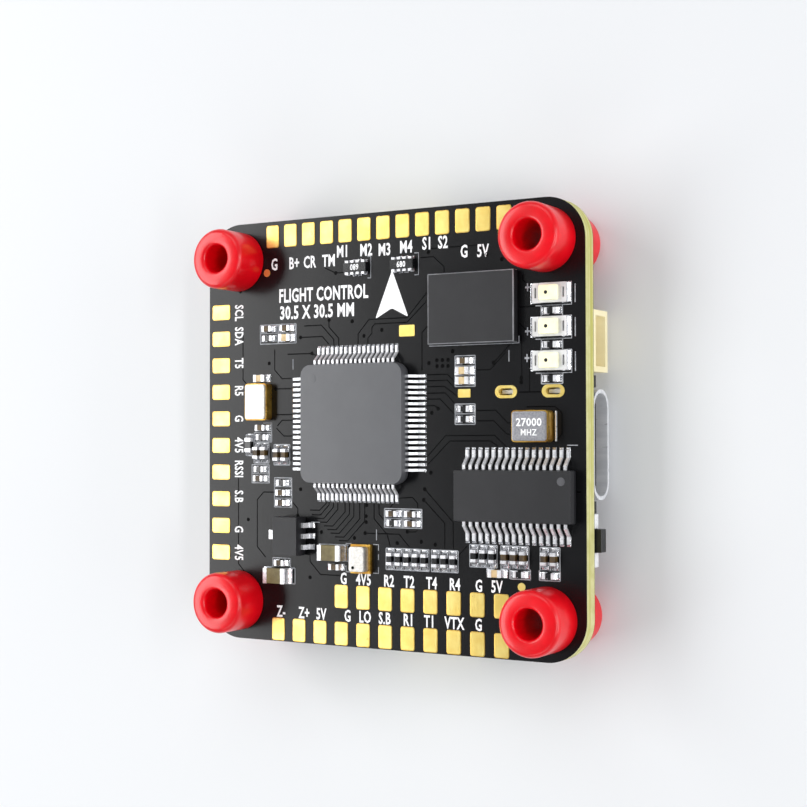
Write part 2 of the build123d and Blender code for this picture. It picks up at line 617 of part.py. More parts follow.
# ================================================================ other parts on the underside
with BuildPart(under_plane(USB_FACE_X - 0.9, 0, "+X")) as usb_protection_chips:
    with Locations((3.82, 0), (-6.3, 0)):
        Box(0.98, 1.6, 0.9, align=(Align.CENTER, Align.CENTER, Align.MIN))
    chamfer(usb_protection_chips.edges().group_by(Axis.Z)[0], 0.08)
pieces["usb_protection_chips"] = usb_protection_chips

IMU_CENTRE = (-2.0, 1.0)
with BuildPart(under_plane(*IMU_CENTRE, "-Y")) as imu_sensor:
    Box(3.0, 2.5, 0.86, align=(Align.CENTER, Align.CENTER, Align.MIN))
    chamfer(imu_sensor.edges().group_by(Axis.Z)[0], 0.06)
pieces["imu_sensor"] = imu_sensor

INDUCTORS = ((-12.9, 6.6), (-12.9, -4.2))
with BuildPart(under_plane(0, 0, "-Y")) as inductor_master:
    Box(4.1, 3.0, 2.0, align=(Align.CENTER, Align.CENTER, Align.MIN))
    chamfer(inductor_master.edges().filter_by(Axis.Z), 0.25)
    fillet(inductor_master.edges().group_by(Axis.Z)[0], 0.12)
with BuildPart() as power_inductors:
    with Locations(*[(x, y, 0) for x, y in INDUCTORS]):
        add(inductor_master.part)
pieces["power_inductors"] = power_inductors
with BuildPart(under_plane(0, 0, "-Y")) as inductor_terminals:
    with Locations(*[(x, -y) for x, y in INDUCTORS]):
        with GridLocations(0, 3.0 + 0.5, 1, 2):
            Box(2.6, 0.5, 0.4, align=(Align.CENTER, Align.CENTER, Align.MIN))
pieces["inductor_terminals"] = inductor_terminals

CONVERTERS = ((-7.2, 6.6), (-7.2, -4.2))
CONVERTER_BODY = (1.6, 2.9)
converter_plane = under_plane(0, 0, "-Y")
converter_exit = (1.1 + CHIP_STANDOFF) / 2
converter_lead = gull_lead(0.6, 0.36, converter_exit, 0.4)
converter_bodies = [moulded_body((x, -y), CONVERTER_BODY, 1.1, 0.06, converter_plane) for x, y in CONVERTERS]
with BuildPart() as converter_chips:
    for body in converter_bodies:
        add(body.part)
pieces["converter_chips"] = converter_chips
with BuildPart(converter_plane) as converter_leads:
    with Locations(*[(x, -y) for x, y in CONVERTERS]):
        with PolarLocations(0, 2):
            with Locations((CONVERTER_BODY[0] / 2, 0, 0)):
                with GridLocations(0, 0.95, 1, 3):
                    add(converter_lead.part)
pieces["converter_leads"] = converter_leads

under_flat = [(x, y) for x in (-8.6, -6.4) for y in (9.6, 3.6, -1.2, -7.2)]
under_small = cell_column(2.4, 4.0, 5) + cell_column(4.6, 4.0, 5) + cell_column(8.6, 9.0, 4)
under_bulk = [(-12.9, 10.4), (-12.9, -8.2), (7.6, -9.2), (7.6, -11.4)]


def mirror_down(points):
    """Board positions in the axes of the underside plane."""
    return [(x, -y) for x, y in points]


def place_under(master, points):
    """Copies of one chip that hang from the underside."""
    turned = Location((0, 0, BOARD_BOTTOM), (180, 0, 0))
    with BuildPart() as group:
        with Locations(turned):
            with Locations(*[(x, y, 0) for x, y in mirror_down(points)]):
                add(master.part)
    return group


pieces["underside_resistor_bodies"] = place_under(resistor_body, under_small)
with BuildPart() as underside_capacitor_bodies:
    add(place_under(capacitor_body, under_flat).part)
    add(place_under(bulk_body, under_bulk).part)
pieces["underside_capacitor_bodies"] = underside_capacitor_bodies
with BuildPart() as underside_terminals:
    add(place_under(resistor_caps, under_small).part)
    add(place_under(capacitor_caps, under_flat).part)
    add(place_under(bulk_caps, under_bulk).part)
pieces["underside_terminals"] = underside_terminals

# ================================================================ write every piece
os.makedirs("parts", exist_ok=True)
for name, piece in pieces.items():
    piece.part.label = name
    export_step(piece.part, f"parts/{name}.step")
print(len(pieces), "pieces; the boot button travels", PLUNGER_TRAVEL, "mm")
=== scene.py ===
"""Looks of a flight controller board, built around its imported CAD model.

A piece is shaped on the bench in millimetres. Finishing it puts its place into its mesh, in metres, in the
frame of the CAD model: +Z out of the component side, +Y the flight direction, +X out of the USB edge.
"""
import logging
import math
from contextlib import contextmanager
from dataclasses import dataclass
from enum import Enum
from typing import Callable, ClassVar, Iterator, Optional, Sequence, Union

import bmesh
import bpy
from mathutils import Matrix, Vector

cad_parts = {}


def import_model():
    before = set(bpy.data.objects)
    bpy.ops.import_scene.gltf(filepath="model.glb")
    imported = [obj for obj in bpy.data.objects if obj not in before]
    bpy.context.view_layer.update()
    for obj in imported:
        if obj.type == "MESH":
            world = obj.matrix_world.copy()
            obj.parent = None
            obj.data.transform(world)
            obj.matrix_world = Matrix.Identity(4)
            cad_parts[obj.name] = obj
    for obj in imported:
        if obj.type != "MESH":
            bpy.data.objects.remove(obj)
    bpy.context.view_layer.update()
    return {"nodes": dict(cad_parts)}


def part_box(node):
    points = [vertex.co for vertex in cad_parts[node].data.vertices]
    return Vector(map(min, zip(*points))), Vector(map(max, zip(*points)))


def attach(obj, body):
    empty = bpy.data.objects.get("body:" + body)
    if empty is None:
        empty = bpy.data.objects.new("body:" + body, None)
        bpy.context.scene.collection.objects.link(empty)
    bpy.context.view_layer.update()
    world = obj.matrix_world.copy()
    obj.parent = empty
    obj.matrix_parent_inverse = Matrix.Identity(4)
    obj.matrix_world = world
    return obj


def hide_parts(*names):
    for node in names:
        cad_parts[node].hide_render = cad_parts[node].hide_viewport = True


Colour = tuple[float, float, float, float]
Point = tuple[float, float]
Run = tuple[Point, ...]
Piece = bpy.types.Object
Rule = Callable[[Vector, Vector], bool]

MM = 0.001
BOARD_BODY = "board"
FACES_UP = 0.9
LEVEL_TOP = 0.997
log = logging.getLogger("flight_board")


def paint(chart: int) -> Colour:
    """A colour as a paint chart gives it, turned into linear light.

    Args:
        chart: the display values of red, green and blue, in two hexadecimal digits each.

    Returns:
        The linear colour with a full alpha.
    """
    shares = [(chart >> shift & 0xFF) / 0xFF for shift in (16, 8, 0)]
    red, green, blue = (v / 12.92 if v <= 0.04045 else ((v + 0.055) / 1.055) ** 2.4 for v in shares)
    return (red, green, blue, 1.0)


def runs(*plain: Sequence[float]) -> tuple[Run, ...]:
    """Pairs up plain numbers into points.

    Args:
        plain: the x and y of each corner in turn, in one sequence for each run.

    Returns:
        The points of each run.
    """
    return tuple(tuple(zip(numbers[::2], numbers[1::2])) for numbers in plain)


# ---- shader graph
def maths(operation: str, reflected: bool = False) -> Callable[["Signal", "Number"], "Signal"]:
    """An operator for signals, which adds one Math node.

    Args:
        operation: what the node does.
        reflected: the other value comes first.

    Returns:
        The operator's method.
    """
    def method(signal: "Signal", other: "Number") -> "Signal":
        """Puts both values through the node."""
        first, second = (other, signal) if reflected else (signal, other)
        return signal.graph.signal("Math", 0, {0: first, 1: second}, operation=operation)

    return method


class Signal:
    """A value that runs through a material's nodes. Arithmetic on it adds Math nodes."""

    __add__, __radd__ = maths("ADD"), maths("ADD", reflected=True)
    __sub__, __rsub__ = maths("SUBTRACT"), maths("SUBTRACT", reflected=True)
    __mul__, __rmul__ = maths("MULTIPLY"), maths("MULTIPLY", reflected=True)

    def __init__(self, graph: "Graph", socket: bpy.types.NodeSocket) -> None:
        """Wraps one output socket of a graph."""
        self.graph = graph
        self.socket = socket


Number = Union[float, Signal]


class Graph:
    """The nodes of one material."""

    def __init__(self, name: str) -> None:
        """Starts an empty material."""
        self.material = bpy.data.materials.new(name)
        self.material.use_nodes = True
        self.tree = self.material.node_tree
        self.tree.nodes.clear()

    def node(self, kind: str, inputs: dict, **settings: object) -> bpy.types.Node:
        """Adds a node.

        Args:
            kind: the node's type, without its prefix.
            inputs: a value or a signal for each socket, by name or index.
            settings: its properties, which are set first.

        Returns:
            The new node.
        """
        made = self.tree.nodes.new(f"ShaderNode{kind}")
        for name, value in settings.items():
            setattr(made, name, value)
        for name, value in inputs.items():
            if isinstance(value, Signal):
                self.tree.links.new(value.socket, made.inputs[name])
            else:
                made.inputs[name].default_value = value
        return made

    def signal(self, kind: str, output: Union[int, str], inputs: dict, **settings: object) -> Signal:
        """Adds a node and returns one of its outputs as a signal."""
        return Signal(self, self.node(kind, inputs, **settings).outputs[output])

    def place(self, stretch: Sequence[float] = (1.0, 1.0, 1.0)) -> Signal:
        """The point on the piece in millimetres, with each axis stretched by a factor."""
        where = self.signal("TexCoord", "Object", {})
        return self.signal("Mapping", 0, {"Vector": where, "Scale": [s / MM for s in stretch]})

    def noise(self, place: Signal, scale: float, detail: float = 2.0) -> Signal:
        """Soft noise about one half, with that many patches per millimetre."""
        inputs = {"Vector": place, "Scale": scale, "Detail": detail, "Roughness": 0.55}
        return self.signal("TexNoise", "Fac", inputs)

    def ramp(self, factor: Signal, low: float, high: float) -> Signal:
        """Stretches the part of a signal between low and high to the range from 0 to 1."""
        return self.signal("MapRange", 0, {"Value": factor, "From Min": low, "From Max": high}, clamp=True)

    def mix(self, factor: Signal, first: Union[Colour, Signal], second: Union[Colour, Signal]) -> Signal:
        """Mixes two colours."""
        return self.signal("Mix", 2, {0: factor, 6: first, 7: second}, data_type="RGBA")

    def surface(self, inputs: dict) -> bpy.types.Material:
        """Ends the graph in a principled shader with these inputs, and returns the material."""
        self.node("OutputMaterial", {"Surface": self.signal("BsdfPrincipled", 0, inputs)})
        return self.material


# ---- finishes
@dataclass(frozen=True)
class Finish:
    """A finish in two tones that drift into each other, with uneven gloss and a fine grain.

    Scales are in patches per millimetre and the relief is in millimetres.
    """

    name: str
    slot: str
    tone: int
    deep: int
    roughness: float
    metal: float = 0.0
    drift: float = 0.8
    unevenness: float = 0.1
    grain: float = 6.0
    relief: float = 0.006
    coat: float = 0.0
    specular: float = 0.5
    stretch: tuple[float, float, float] = (1.0, 1.0, 1.0)
    # Emission in the finish's own tone: a painted glow that brightens a part which is no lamp.
    painted_glow: float = 0.0

    def colour(self, graph: Graph, place: Signal) -> Signal:
        """The colour over the surface."""
        patches = graph.noise(place, self.drift, 3.0)
        return graph.mix(graph.ramp(patches, 0.38, 0.64), paint(self.deep), paint(self.tone))

    def gloss(self, graph: Graph, place: Signal) -> Signal:
        """The roughness over the surface."""
        patches = graph.noise(place, self.drift * 1.7, 3.0)
        return (patches - 0.5) * (2 * self.unevenness) + self.roughness

    def height(self, graph: Graph, place: Signal) -> Signal:
        """The height of the fine grain, from about 0 to 1."""
        return graph.noise(place, self.grain, 4.0)

    def build(self) -> bpy.types.Material:
        """Makes the material, or returns the one that is there already.

        Returns:
            The material with this finish's name.
        """
        name = f"{self.name}_finish"
        if name in bpy.data.materials:
            return bpy.data.materials[name]
        graph = Graph(name)
        place = graph.place(self.stretch)
        bump = graph.signal("Bump", 0, {
            "Strength": 1.0, "Distance": self.relief * MM, "Height": self.height(graph, place)})
        return graph.surface({
            "Base Color": self.colour(graph, place), "Roughness": self.gloss(graph, place),
            "Metallic": self.metal, "Normal": bump, "Coat Weight": self.coat, "Coat Roughness": 0.12,
            "Specular IOR Level": self.specular, "Emission Strength": self.painted_glow,
            "Emission Color": paint(self.tone)})


@dataclass(frozen=True)
class MaskFinish(Finish):
    """Solder mask: the glass cloth under it prints through as a faint square weave."""

    cloth: float = 2.1
    cloth_share: float = 0.3

    def height(self, graph: Graph, place: Signal) -> Signal:
        """Orange peel with the cloth's two sets of threads."""
        inputs = {"Vector": place, "Scale": self.cloth, "Distortion": 0.6, "Detail": 1.0}
        warp, weft = (graph.signal("TexWave", "Fac", inputs, bands_direction=axis) for axis in "XY")
        return graph.noise(place, self.grain, 3.0) + warp * weft * self.cloth_share


@dataclass(frozen=True)
class LaminateFinish(Finish):
    """The cut edge of glass laminate: thin layers with brighter resin streaks between them."""

    layers: float = 2.6
    resin: int = 0xBAB65C

    def colour(self, graph: Graph, place: Signal) -> Signal:
        """Pale cloth with resin streaks along the edge."""
        cloth = super().colour(graph, place)
        along = graph.place((0.03, 0.03, self.layers))
        streaks = graph.ramp(graph.noise(along, 1.0, 2.0), 0.46, 0.6)
        return graph.mix(streaks, cloth, paint(self.resin))


@dataclass(frozen=True)
class PlatedFinish(Finish):
    """Plated metal: tiny crystal facets break up the reflection."""

    facets: float = 14.0
    facet_share: float = 0.35

    def height(self, graph: Graph, place: Signal) -> Signal:
        """Fine grain with small facets."""
        cells = graph.signal("TexVoronoi", "Distance", {"Vector": place, "Scale": self.facets})
        return graph.noise(place, self.grain, 3.0) + cells * self.facet_share


class Finishes(Enum):
    """Every finish on the board."""

    MASK = MaskFinish("solder_mask_black", "solder_mask", 0x0F0F11, 0x0B0B0D, 0.25, drift=0.22,
                      unevenness=0.02, grain=5.0, relief=0.001, specular=0.3)
    TRACK = MaskFinish("masked_groove", "solder_mask", 0x080809, 0x050506, 0.3, drift=0.4, unevenness=0.02,
                       grain=5.0, relief=0.001, specular=0.06)
    LAMINATE = LaminateFinish("laminate_edge", "fr4", 0xD4D098, 0xC4C080, 0.55, grain=8.0, relief=0.02)
    GOLD = PlatedFinish("pad_gold", "gold_plating", 0xFCE48A, 0xF4D472, 0.3, metal=0.8, drift=0.7,
                        relief=0.006, unevenness=0.06)
    # A darker gold for the sloping pad borders: painted shade round each pad.
    EDGE_GOLD_SHADE = PlatedFinish("pad_edge_gold_shade", "gold_plating", 0xE6C268, 0xD2AA4E, 0.34, metal=0.8,
                             relief=0.006)
    RIM_GOLD = PlatedFinish("can_gold", "gold_can", 0xDEB454, 0xA87A2E, 0.3, metal=0.8)
    CONTACT = PlatedFinish("contact_gold", "contact_gold", 0xEBC870, 0xCDA550, 0.28, metal=0.9)
    TIN = PlatedFinish("tinned_lead", "tinned_lead", 0xF4F4F6, 0xDEDEE2, 0.3, metal=0.55, drift=2.2,
                       relief=0.008)
    SOLDER = PlatedFinish("bright_solder", "tinned_lead", 0xECECEE, 0xBCBEC4, 0.22, metal=0.8, drift=3.0,
                          relief=0.016, facets=5.0)
    PIN_TIN = PlatedFinish("connector_tin", "contact_tin", 0xECE9E0, 0xCECAC0, 0.3, metal=0.8)
    STEEL = Finish("brushed_steel", "steel", 0xF0F1F4, 0xDEE0E4, 0.3, metal=0.3, drift=1.0, grain=3.0,
                   relief=0.006, stretch=(0.15, 1.0, 4.0))
    PLATE = Finish("bright_plate", "steel", 0xFAFAFC, 0xECEDF0, 0.35, metal=0.2, drift=1.0, grain=6.0,
                   relief=0.004)
    LID = Finish("lid_steel", "steel", 0xA0A0A4, 0x86868C, 0.42, metal=0.5, drift=7.0, grain=11.0,
                 relief=0.008)
    PALE_LID = Finish("pale_lid_steel", "steel", 0xD6D3CC, 0xBCBAB6, 0.36, metal=0.75, drift=6.0, grain=14.0,
                      relief=0.012)
    SILICONE = Finish("red_silicone", "red_silicone", 0xEC0016, 0xDE0011, 0.34, drift=0.5, unevenness=0.04,
                      grain=3.5, relief=0.003, coat=0.26, specular=0.4)
    # The processor's mid-grey is partly the mould's own tone and partly a painted reflection on its top.
    EPOXY_AND_SHEEN = Finish("mould_epoxy", "chip_epoxy", 0x505155, 0x4C4D51, 0.34, drift=0.35, unevenness=0.03,
                   grain=14.0, relief=0.006, specular=0.7)
    EPOXY_DARK = Finish("mould_epoxy_dark", "chip_epoxy", 0x202023, 0x1B1B1E, 0.44, drift=0.35,
                        unevenness=0.03, grain=14.0, relief=0.01, specular=0.4)
    # A lighter grey for the broken chip edges: a painted highlight along them.
    EPOXY_EDGE_HIGHLIGHT = Finish("mould_edge_highlight", "chip_epoxy", 0x96979B, 0x78797D, 0.3, drift=0.6, grain=14.0,
                        relief=0.008)
    MARK_GREY = Finish("laser_mark_grey", "chip_epoxy", 0x5C5D60, 0x4E4E52, 0.45, grain=12.0, relief=0.006)
    RESISTOR = Finish("resistor_glaze", "resistor_glaze", 0x101013, 0x09090B, 0.25, drift=1.4, coat=0.3,
                      grain=9.0)
    CAPACITOR = Finish("capacitor_brown", "capacitor_brown", 0x5C461C, 0x34240A, 0.45, drift=1.2, grain=12.0)
    PALE = Finish("capacitor_pale", "capacitor_pale", 0xE8D0A2, 0xD2B482, 0.5, drift=1.2, grain=12.0)
    KHAKI = Finish("capacitor_khaki", "capacitor_khaki", 0x807448, 0x645832, 0.5, drift=0.9, grain=12.0)
    CERAMIC = Finish("white_ceramic", "led_ceramic", 0xECECEC, 0xD6D6D6, 0.35, grain=10.0)
    # The lens carries a painted glow that brightens it.
    LENS = Finish("light_lens", "led_lens", 0xFFFFDE, 0xFFFACC, 0.3, coat=0.3, relief=0.004, painted_glow=0.2)
    DIE = Finish("light_die", "led_lens", 0x14110C, 0x090806, 0.4)
    BLACK = Finish("black_plastic", "black_plastic", 0x1A1A1C, 0x121214, 0.4, grain=10.0)
    # The housings carry a painted glow that lights their faces and the insides of their mouths.
    NYLON = Finish("cream_nylon", "cream_nylon", 0xF2E8C2, 0xE8DCB0, 0.42, drift=0.35, grain=7.0, relief=0.01,
                   stretch=(0.4, 1.6, 0.4), painted_glow=0.1)
    FERRITE = Finish("inductor_ferrite", "ferrite", 0x545458, 0x3C3C40, 0.62, drift=1.6, grain=8.0,
                     relief=0.03)
    # The legend ink carries a painted glow that brightens it.
    INK = Finish("legend_ink", "led_ceramic", 0xFCFCFC, 0xF0F0F2, 0.5, drift=1.5, grain=10.0, relief=0.004,
                 painted_glow=0.14)
    OUTLINE_INK = Finish("outline_ink", "led_ceramic", 0xB2B4B8, 0x92949A, 0.55, drift=1.8, grain=10.0,
                         relief=0.004)
    # Near-black discs that paint the shade inside open holes.
    CAVITY_SHADOW = Finish("hole_shadow", "solder_mask", 0x050505, 0x030303, 0.8, specular=0.1)


# ---- CAD measures
@dataclass(frozen=True)
class Block:
    """An upright box in millimetres."""

    low: Vector
    high: Vector

    @property
    def centre(self) -> Vector:
        """The middle of the box."""
        return (self.low + self.high) / 2

    @property
    def size(self) -> Vector:
        """The three sides of the box."""
        return self.high - self.low

    def span(self, away: Vector) -> tuple[float, float]:
        """Its sides along and across a direction on the X or Y axis."""
        return (self.size.x, self.size.y) if away.x else (self.size.y, self.size.x)


@dataclass
class CadModel:
    """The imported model: its nodes, and what is measured on them."""

    nodes: dict[str, Piece]

    def box(self, node: str) -> Block:
        """The box of a node in millimetres."""
        low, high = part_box(node)
        return Block(low / MM, high / MM)

    def solids(self, node: str) -> list[Block]:
        """The boxes of a node's separate solids.

        Args:
            node: the CAD node's name.

        Returns:
            One box for each solid, in the order of their places.
        """
        mesh = bmesh.new()
        mesh.from_mesh(self.nodes[node].data)
        bmesh.ops.remove_doubles(mesh, verts=mesh.verts, dist=1e-8)
        seen: set[int] = set()
        found: list[Block] = []
        mesh.verts.index_update()
        for start in mesh.verts:
            if start.index in seen:
                continue
            seen.add(start.index)
            members, waiting = [], [start]
            while waiting:
                vertex = waiting.pop()
                members.append(vertex.co)
                for edge in vertex.link_edges:
                    other = edge.other_vert(vertex)
                    if other.index not in seen:
                        seen.add(other.index)
                        waiting.append(other)
            low = Vector([min(p[axis] for p in members) for axis in range(3)])
            high = Vector([max(p[axis] for p in members) for axis in range(3)])
            found.append(Block(low / MM, high / MM))
        mesh.free()
        return sorted(found, key=lambda b: (round(b.centre.y, 3), round(b.centre.x, 3), round(b.centre.z, 3)))

    def dress(self, finish: Finishes, *nodes: str) -> None:
        """Puts a finish on CAD nodes."""
        for name in nodes:
            for material_slot in self.nodes[name].material_slots:
                material_slot.material = finish.value.build()
            log.info("dressed %s with %s", name, finish.value.name)

    def soften(self, name: str, width: float, edge: Finishes) -> None:
        """Breaks a CAD node's sharp edges with live modifiers, in a finish of their own that paints a highlight
        on them.

        Args:
            name: the CAD node.
            width: the width of the broken edge in millimetres.
            edge: the finish of the new narrow faces, a lighter grey that is a painted highlight.
        """
        node = self.nodes[name]
        node.data.materials.append(edge.value.build())
        weld = node.modifiers.new("weld", "WELD")
        weld.merge_threshold = 0.002 * MM
        bevel = node.modifiers.new("edge_break", "BEVEL")
        bevel.width, bevel.segments = width * MM, 2
        bevel.limit_method, bevel.angle_limit = "ANGLE", math.radians(24)
        bevel.material = len(node.material_slots) - 1


# ---- bench
class Bench:
    """Where new pieces are shaped, in millimetres, with the modelling operators."""

    @staticmethod
    def only(*pieces: Piece) -> None:
        """Selects just these pieces, with the last one active."""
        bpy.ops.object.select_all(action="DESELECT")
        for piece in pieces:
            piece.select_set(True)
            bpy.context.view_layer.objects.active = piece

    @staticmethod
    def add(primitive: Callable, **settings: object) -> Piece:
        """Adds a primitive with nothing else selected."""
        Bench.only()
        primitive(**settings)
        return bpy.context.object

    @staticmethod
    @contextmanager
    def editing(piece: Piece) -> Iterator[None]:
        """Edit mode on one piece, with nothing selected at first."""
        Bench.only(piece)
        bpy.ops.object.mode_set(mode="EDIT")
        bpy.ops.mesh.select_all(action="DESELECT")
        yield
        bpy.ops.object.mode_set(mode="OBJECT")

    @staticmethod
    def pick_faces(piece: Piece, rule: Rule) -> None:
        """In edit mode, selects the faces whose middle and normal keep a rule."""
        bpy.ops.mesh.select_mode(type="FACE")
        mesh = bmesh.from_edit_mesh(piece.data)
        mesh.normal_update()
        for face in mesh.faces:
            face.select_set(rule(face.calc_center_median(), face.normal))
        bmesh.update_edit_mesh(piece.data)

    @staticmethod
    def pick_edges(piece: Piece, rule: Rule) -> None:
        """In edit mode, selects the edges whose two ends keep a rule."""
        bpy.ops.mesh.select_mode(type="EDGE")
        mesh = bmesh.from_edit_mesh(piece.data)
        for edge in mesh.edges:
            edge.select_set(rule(edge.verts[0].co, edge.verts[1].co))
        bmesh.update_edit_mesh(piece.data)

    @staticmethod
    def block(box: Block) -> Piece:
        """A cube primitive at a box's size and place."""
        piece = Bench.add(bpy.ops.mesh.primitive_cube_add, size=1.0, location=box.centre)
        piece.scale = box.size
        bpy.ops.object.transform_apply(location=True, rotation=True, scale=True)
        return piece

    @staticmethod
    def rounded_block(box: Block, corner: float, rim: float, segments: int = 4) -> Piece:
        """A block with rounded upright edges and a small rounding round its top.

        Args:
            box: its size and place.
            corner: the radius of the upright edges.
            rim: the radius round the top face.
            segments: the facets of each upright edge.

        Returns:
            The piece, still on the bench.
        """
        piece = Bench.block(box)
        with Bench.editing(piece):
            Bench.pick_edges(piece, lambda a, b: abs(a.z - b.z) > 0.5 * box.size.z)
            bpy.ops.mesh.bevel(offset=corner, segments=segments, affect="EDGES")
            Bench.pick_faces(piece, lambda c, n: n.z > FACES_UP)
            bpy.ops.mesh.region_to_loop()
            bpy.ops.mesh.bevel(offset=rim, segments=2, affect="EDGES")
        return piece

    @staticmethod
    def lathe(profile: Sequence[Point], steps: int) -> Piece:
        """A closed ring turned about the Z axis.

        Args:
            profile: radius and height of each point of the closed section.
            steps: the number of facets round the ring.

        Returns:
            The piece, centred on the Z axis.
        """
        piece = Bench.add(bpy.ops.mesh.primitive_circle_add, vertices=steps, radius=profile[0][0])
        with Bench.editing(piece):
            bpy.ops.mesh.select_mode(type="VERT")
            bpy.ops.mesh.select_all(action="SELECT")
            bpy.ops.transform.translate(value=(0, 0, profile[0][1]))
            for (radius, height), (next_radius, next_height) in zip(profile, [*profile[1:], profile[0]]):
                step = (0, 0, next_height - height)
                bpy.ops.mesh.extrude_region_move(TRANSFORM_OT_translate={"value": step})
                share = next_radius / radius
                bpy.ops.transform.resize(value=(share, share, 1.0), center_override=(0, 0, 0))
            bpy.ops.mesh.select_all(action="SELECT")
            bpy.ops.mesh.remove_doubles(threshold=0.0005)
            bpy.ops.mesh.normals_make_consistent(inside=False)
        return piece

    @staticmethod
    def disc(centre: Vector, radius: float, rise: float, sides: int = 20) -> Piece:
        """A thin round mark with a softened edge that stands a little proud."""
        piece = Bench.add(bpy.ops.mesh.primitive_cylinder_add, vertices=sides, radius=radius, depth=2 * rise,
                          location=centre)
        bpy.ops.object.transform_apply(location=True, rotation=True, scale=True)
        with Bench.editing(piece):
            Bench.pick_faces(piece, lambda c, n: n.z > FACES_UP)
            bpy.ops.mesh.inset(thickness=0.2 * radius)
            bpy.ops.transform.translate(value=(0, 0, 0.3 * rise))
        return piece

    @staticmethod
    def copies(master: Piece, places: Sequence[Matrix]) -> Piece:
        """Joins a copy of a master shape at every place, each with its own mesh, and removes the master."""
        made = []
        for place in places:
            copy = bpy.data.objects.new(master.name, master.data.copy())
            copy.data.transform(place)
            bpy.context.scene.collection.objects.link(copy)
            made.append(copy)
        bpy.data.objects.remove(master)
        return Bench.join(made)

    @staticmethod
    def join(pieces: Sequence[Piece]) -> Piece:
        """Joins pieces into one."""
        Bench.only(*pieces)
        if len(pieces) > 1:
            bpy.ops.object.join()
        return bpy.context.object

    @staticmethod
    def ribbons(routes: Sequence[Sequence[Point]], width: float, rise: float, level: float) -> Piece:
        """Low rounded ribbons along straight runs, half sunk in a flat surface.

        Args:
            routes: the corners of each ribbon.
            width: its width.
            rise: how far its middle stands out of the surface.
            level: the height of the surface.

        Returns:
            One piece with every ribbon.
        """
        curve = bpy.data.curves.new("ribbons", "CURVE")
        curve.dimensions, curve.bevel_depth, curve.bevel_resolution = "3D", width / 2, 1
        curve.use_fill_caps = True
        for route in routes:
            run = curve.splines.new("POLY")
            run.points.add(len(route) - 1)
            for point, (x, y) in zip(run.points, route):
                point.co = (x, y, 0.0, 1.0)
        piece = bpy.data.objects.new("ribbons", curve)
        bpy.context.scene.collection.objects.link(piece)
        Bench.only(piece)
        bpy.ops.object.convert(target="MESH")
        piece = bpy.context.object
        flatten = Matrix.Diagonal((1, 1, rise / (width / 2), 1))
        piece.data.transform(Matrix.Translation((0, 0, level)) @ flatten)
        return piece

    @staticmethod
    def flat_shape(outline: Sequence[Point], level: float, rise: float, corner: float) -> Piece:
        """A flat inked shape with rounded corners.

        Args:
            outline: its corners, counter-clockwise.
            level: the height of the surface that it lies on.
            rise: its thickness.
            corner: the radius of its corners.

        Returns:
            The piece, still on the bench.
        """
        piece = Bench.add(bpy.ops.mesh.primitive_circle_add, vertices=len(outline), fill_type="NGON")
        for vertex, (x, y) in zip(piece.data.vertices, outline):
            vertex.co = (x, y, level)
        with Bench.editing(piece):
            bpy.ops.mesh.select_all(action="SELECT")
            bpy.ops.mesh.bevel(offset=corner, segments=5, affect="VERTICES")
            bpy.ops.mesh.select_all(action="SELECT")
            bpy.ops.mesh.normals_make_consistent(inside=False)
            bpy.ops.mesh.extrude_region_move(TRANSFORM_OT_translate={"value": (0, 0, rise)})
            bpy.ops.mesh.select_all(action="SELECT")
            bpy.ops.mesh.normals_make_consistent(inside=False)
        return piece

    @staticmethod
    def finish(piece: Piece, name: str, look: Finishes, *, replaces: Sequence[str] = (), smooth: float = 40.0,
               slope_shade: Optional[Finishes] = None) -> None:
        """Takes a piece off the bench: into metres, dressed, and riding on its body.

        Args:
            piece: the shaped piece.
            name: its name in the model.
            look: its finish.
            replaces: the CAD nodes that it stands for.
            smooth: edges flatter than this angle, in degrees, are shaded smooth.
            slope_shade: the finish of the faces that don't look straight up, a darker copy that paints shade on
                them.
        """
        Bench.only(piece)
        piece.data.transform(Matrix.Scale(MM, 4) @ piece.matrix_world)
        piece.matrix_world = Matrix.Identity(4)
        piece.name = piece.data.name = name
        piece.data.materials.clear()
        piece.data.materials.append(look.value.build())
        if slope_shade is not None:
            piece.data.materials.append(slope_shade.value.build())
            for face in piece.data.polygons:
                face.material_index = int(face.normal.z < LEVEL_TOP)
        bpy.ops.object.shade_smooth_by_angle(angle=math.radians(smooth))
        bpy.ops.object.modifier_add(type="WEIGHTED_NORMAL")
        piece.modifiers[-1].keep_sharp = True
        bpy.ops.object.modifier_apply(modifier=piece.modifiers[-1].name)
        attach(piece, BOARD_BODY)
        if replaces:
            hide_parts(*replaces)
        log.info("made %s with %d faces", name, len(piece.data.polygons))

    @staticmethod
    def letter(name: str, labels: Sequence["Label"], level: float, rise: float, look: Finishes = Finishes.INK,
               under: bool = False) -> None:
        """Finishes several lines of lettering as one piece."""
        shapes = [label.shape(level, rise, under) for label in labels]
        Bench.finish(Bench.join(shapes), name, look, smooth=20)


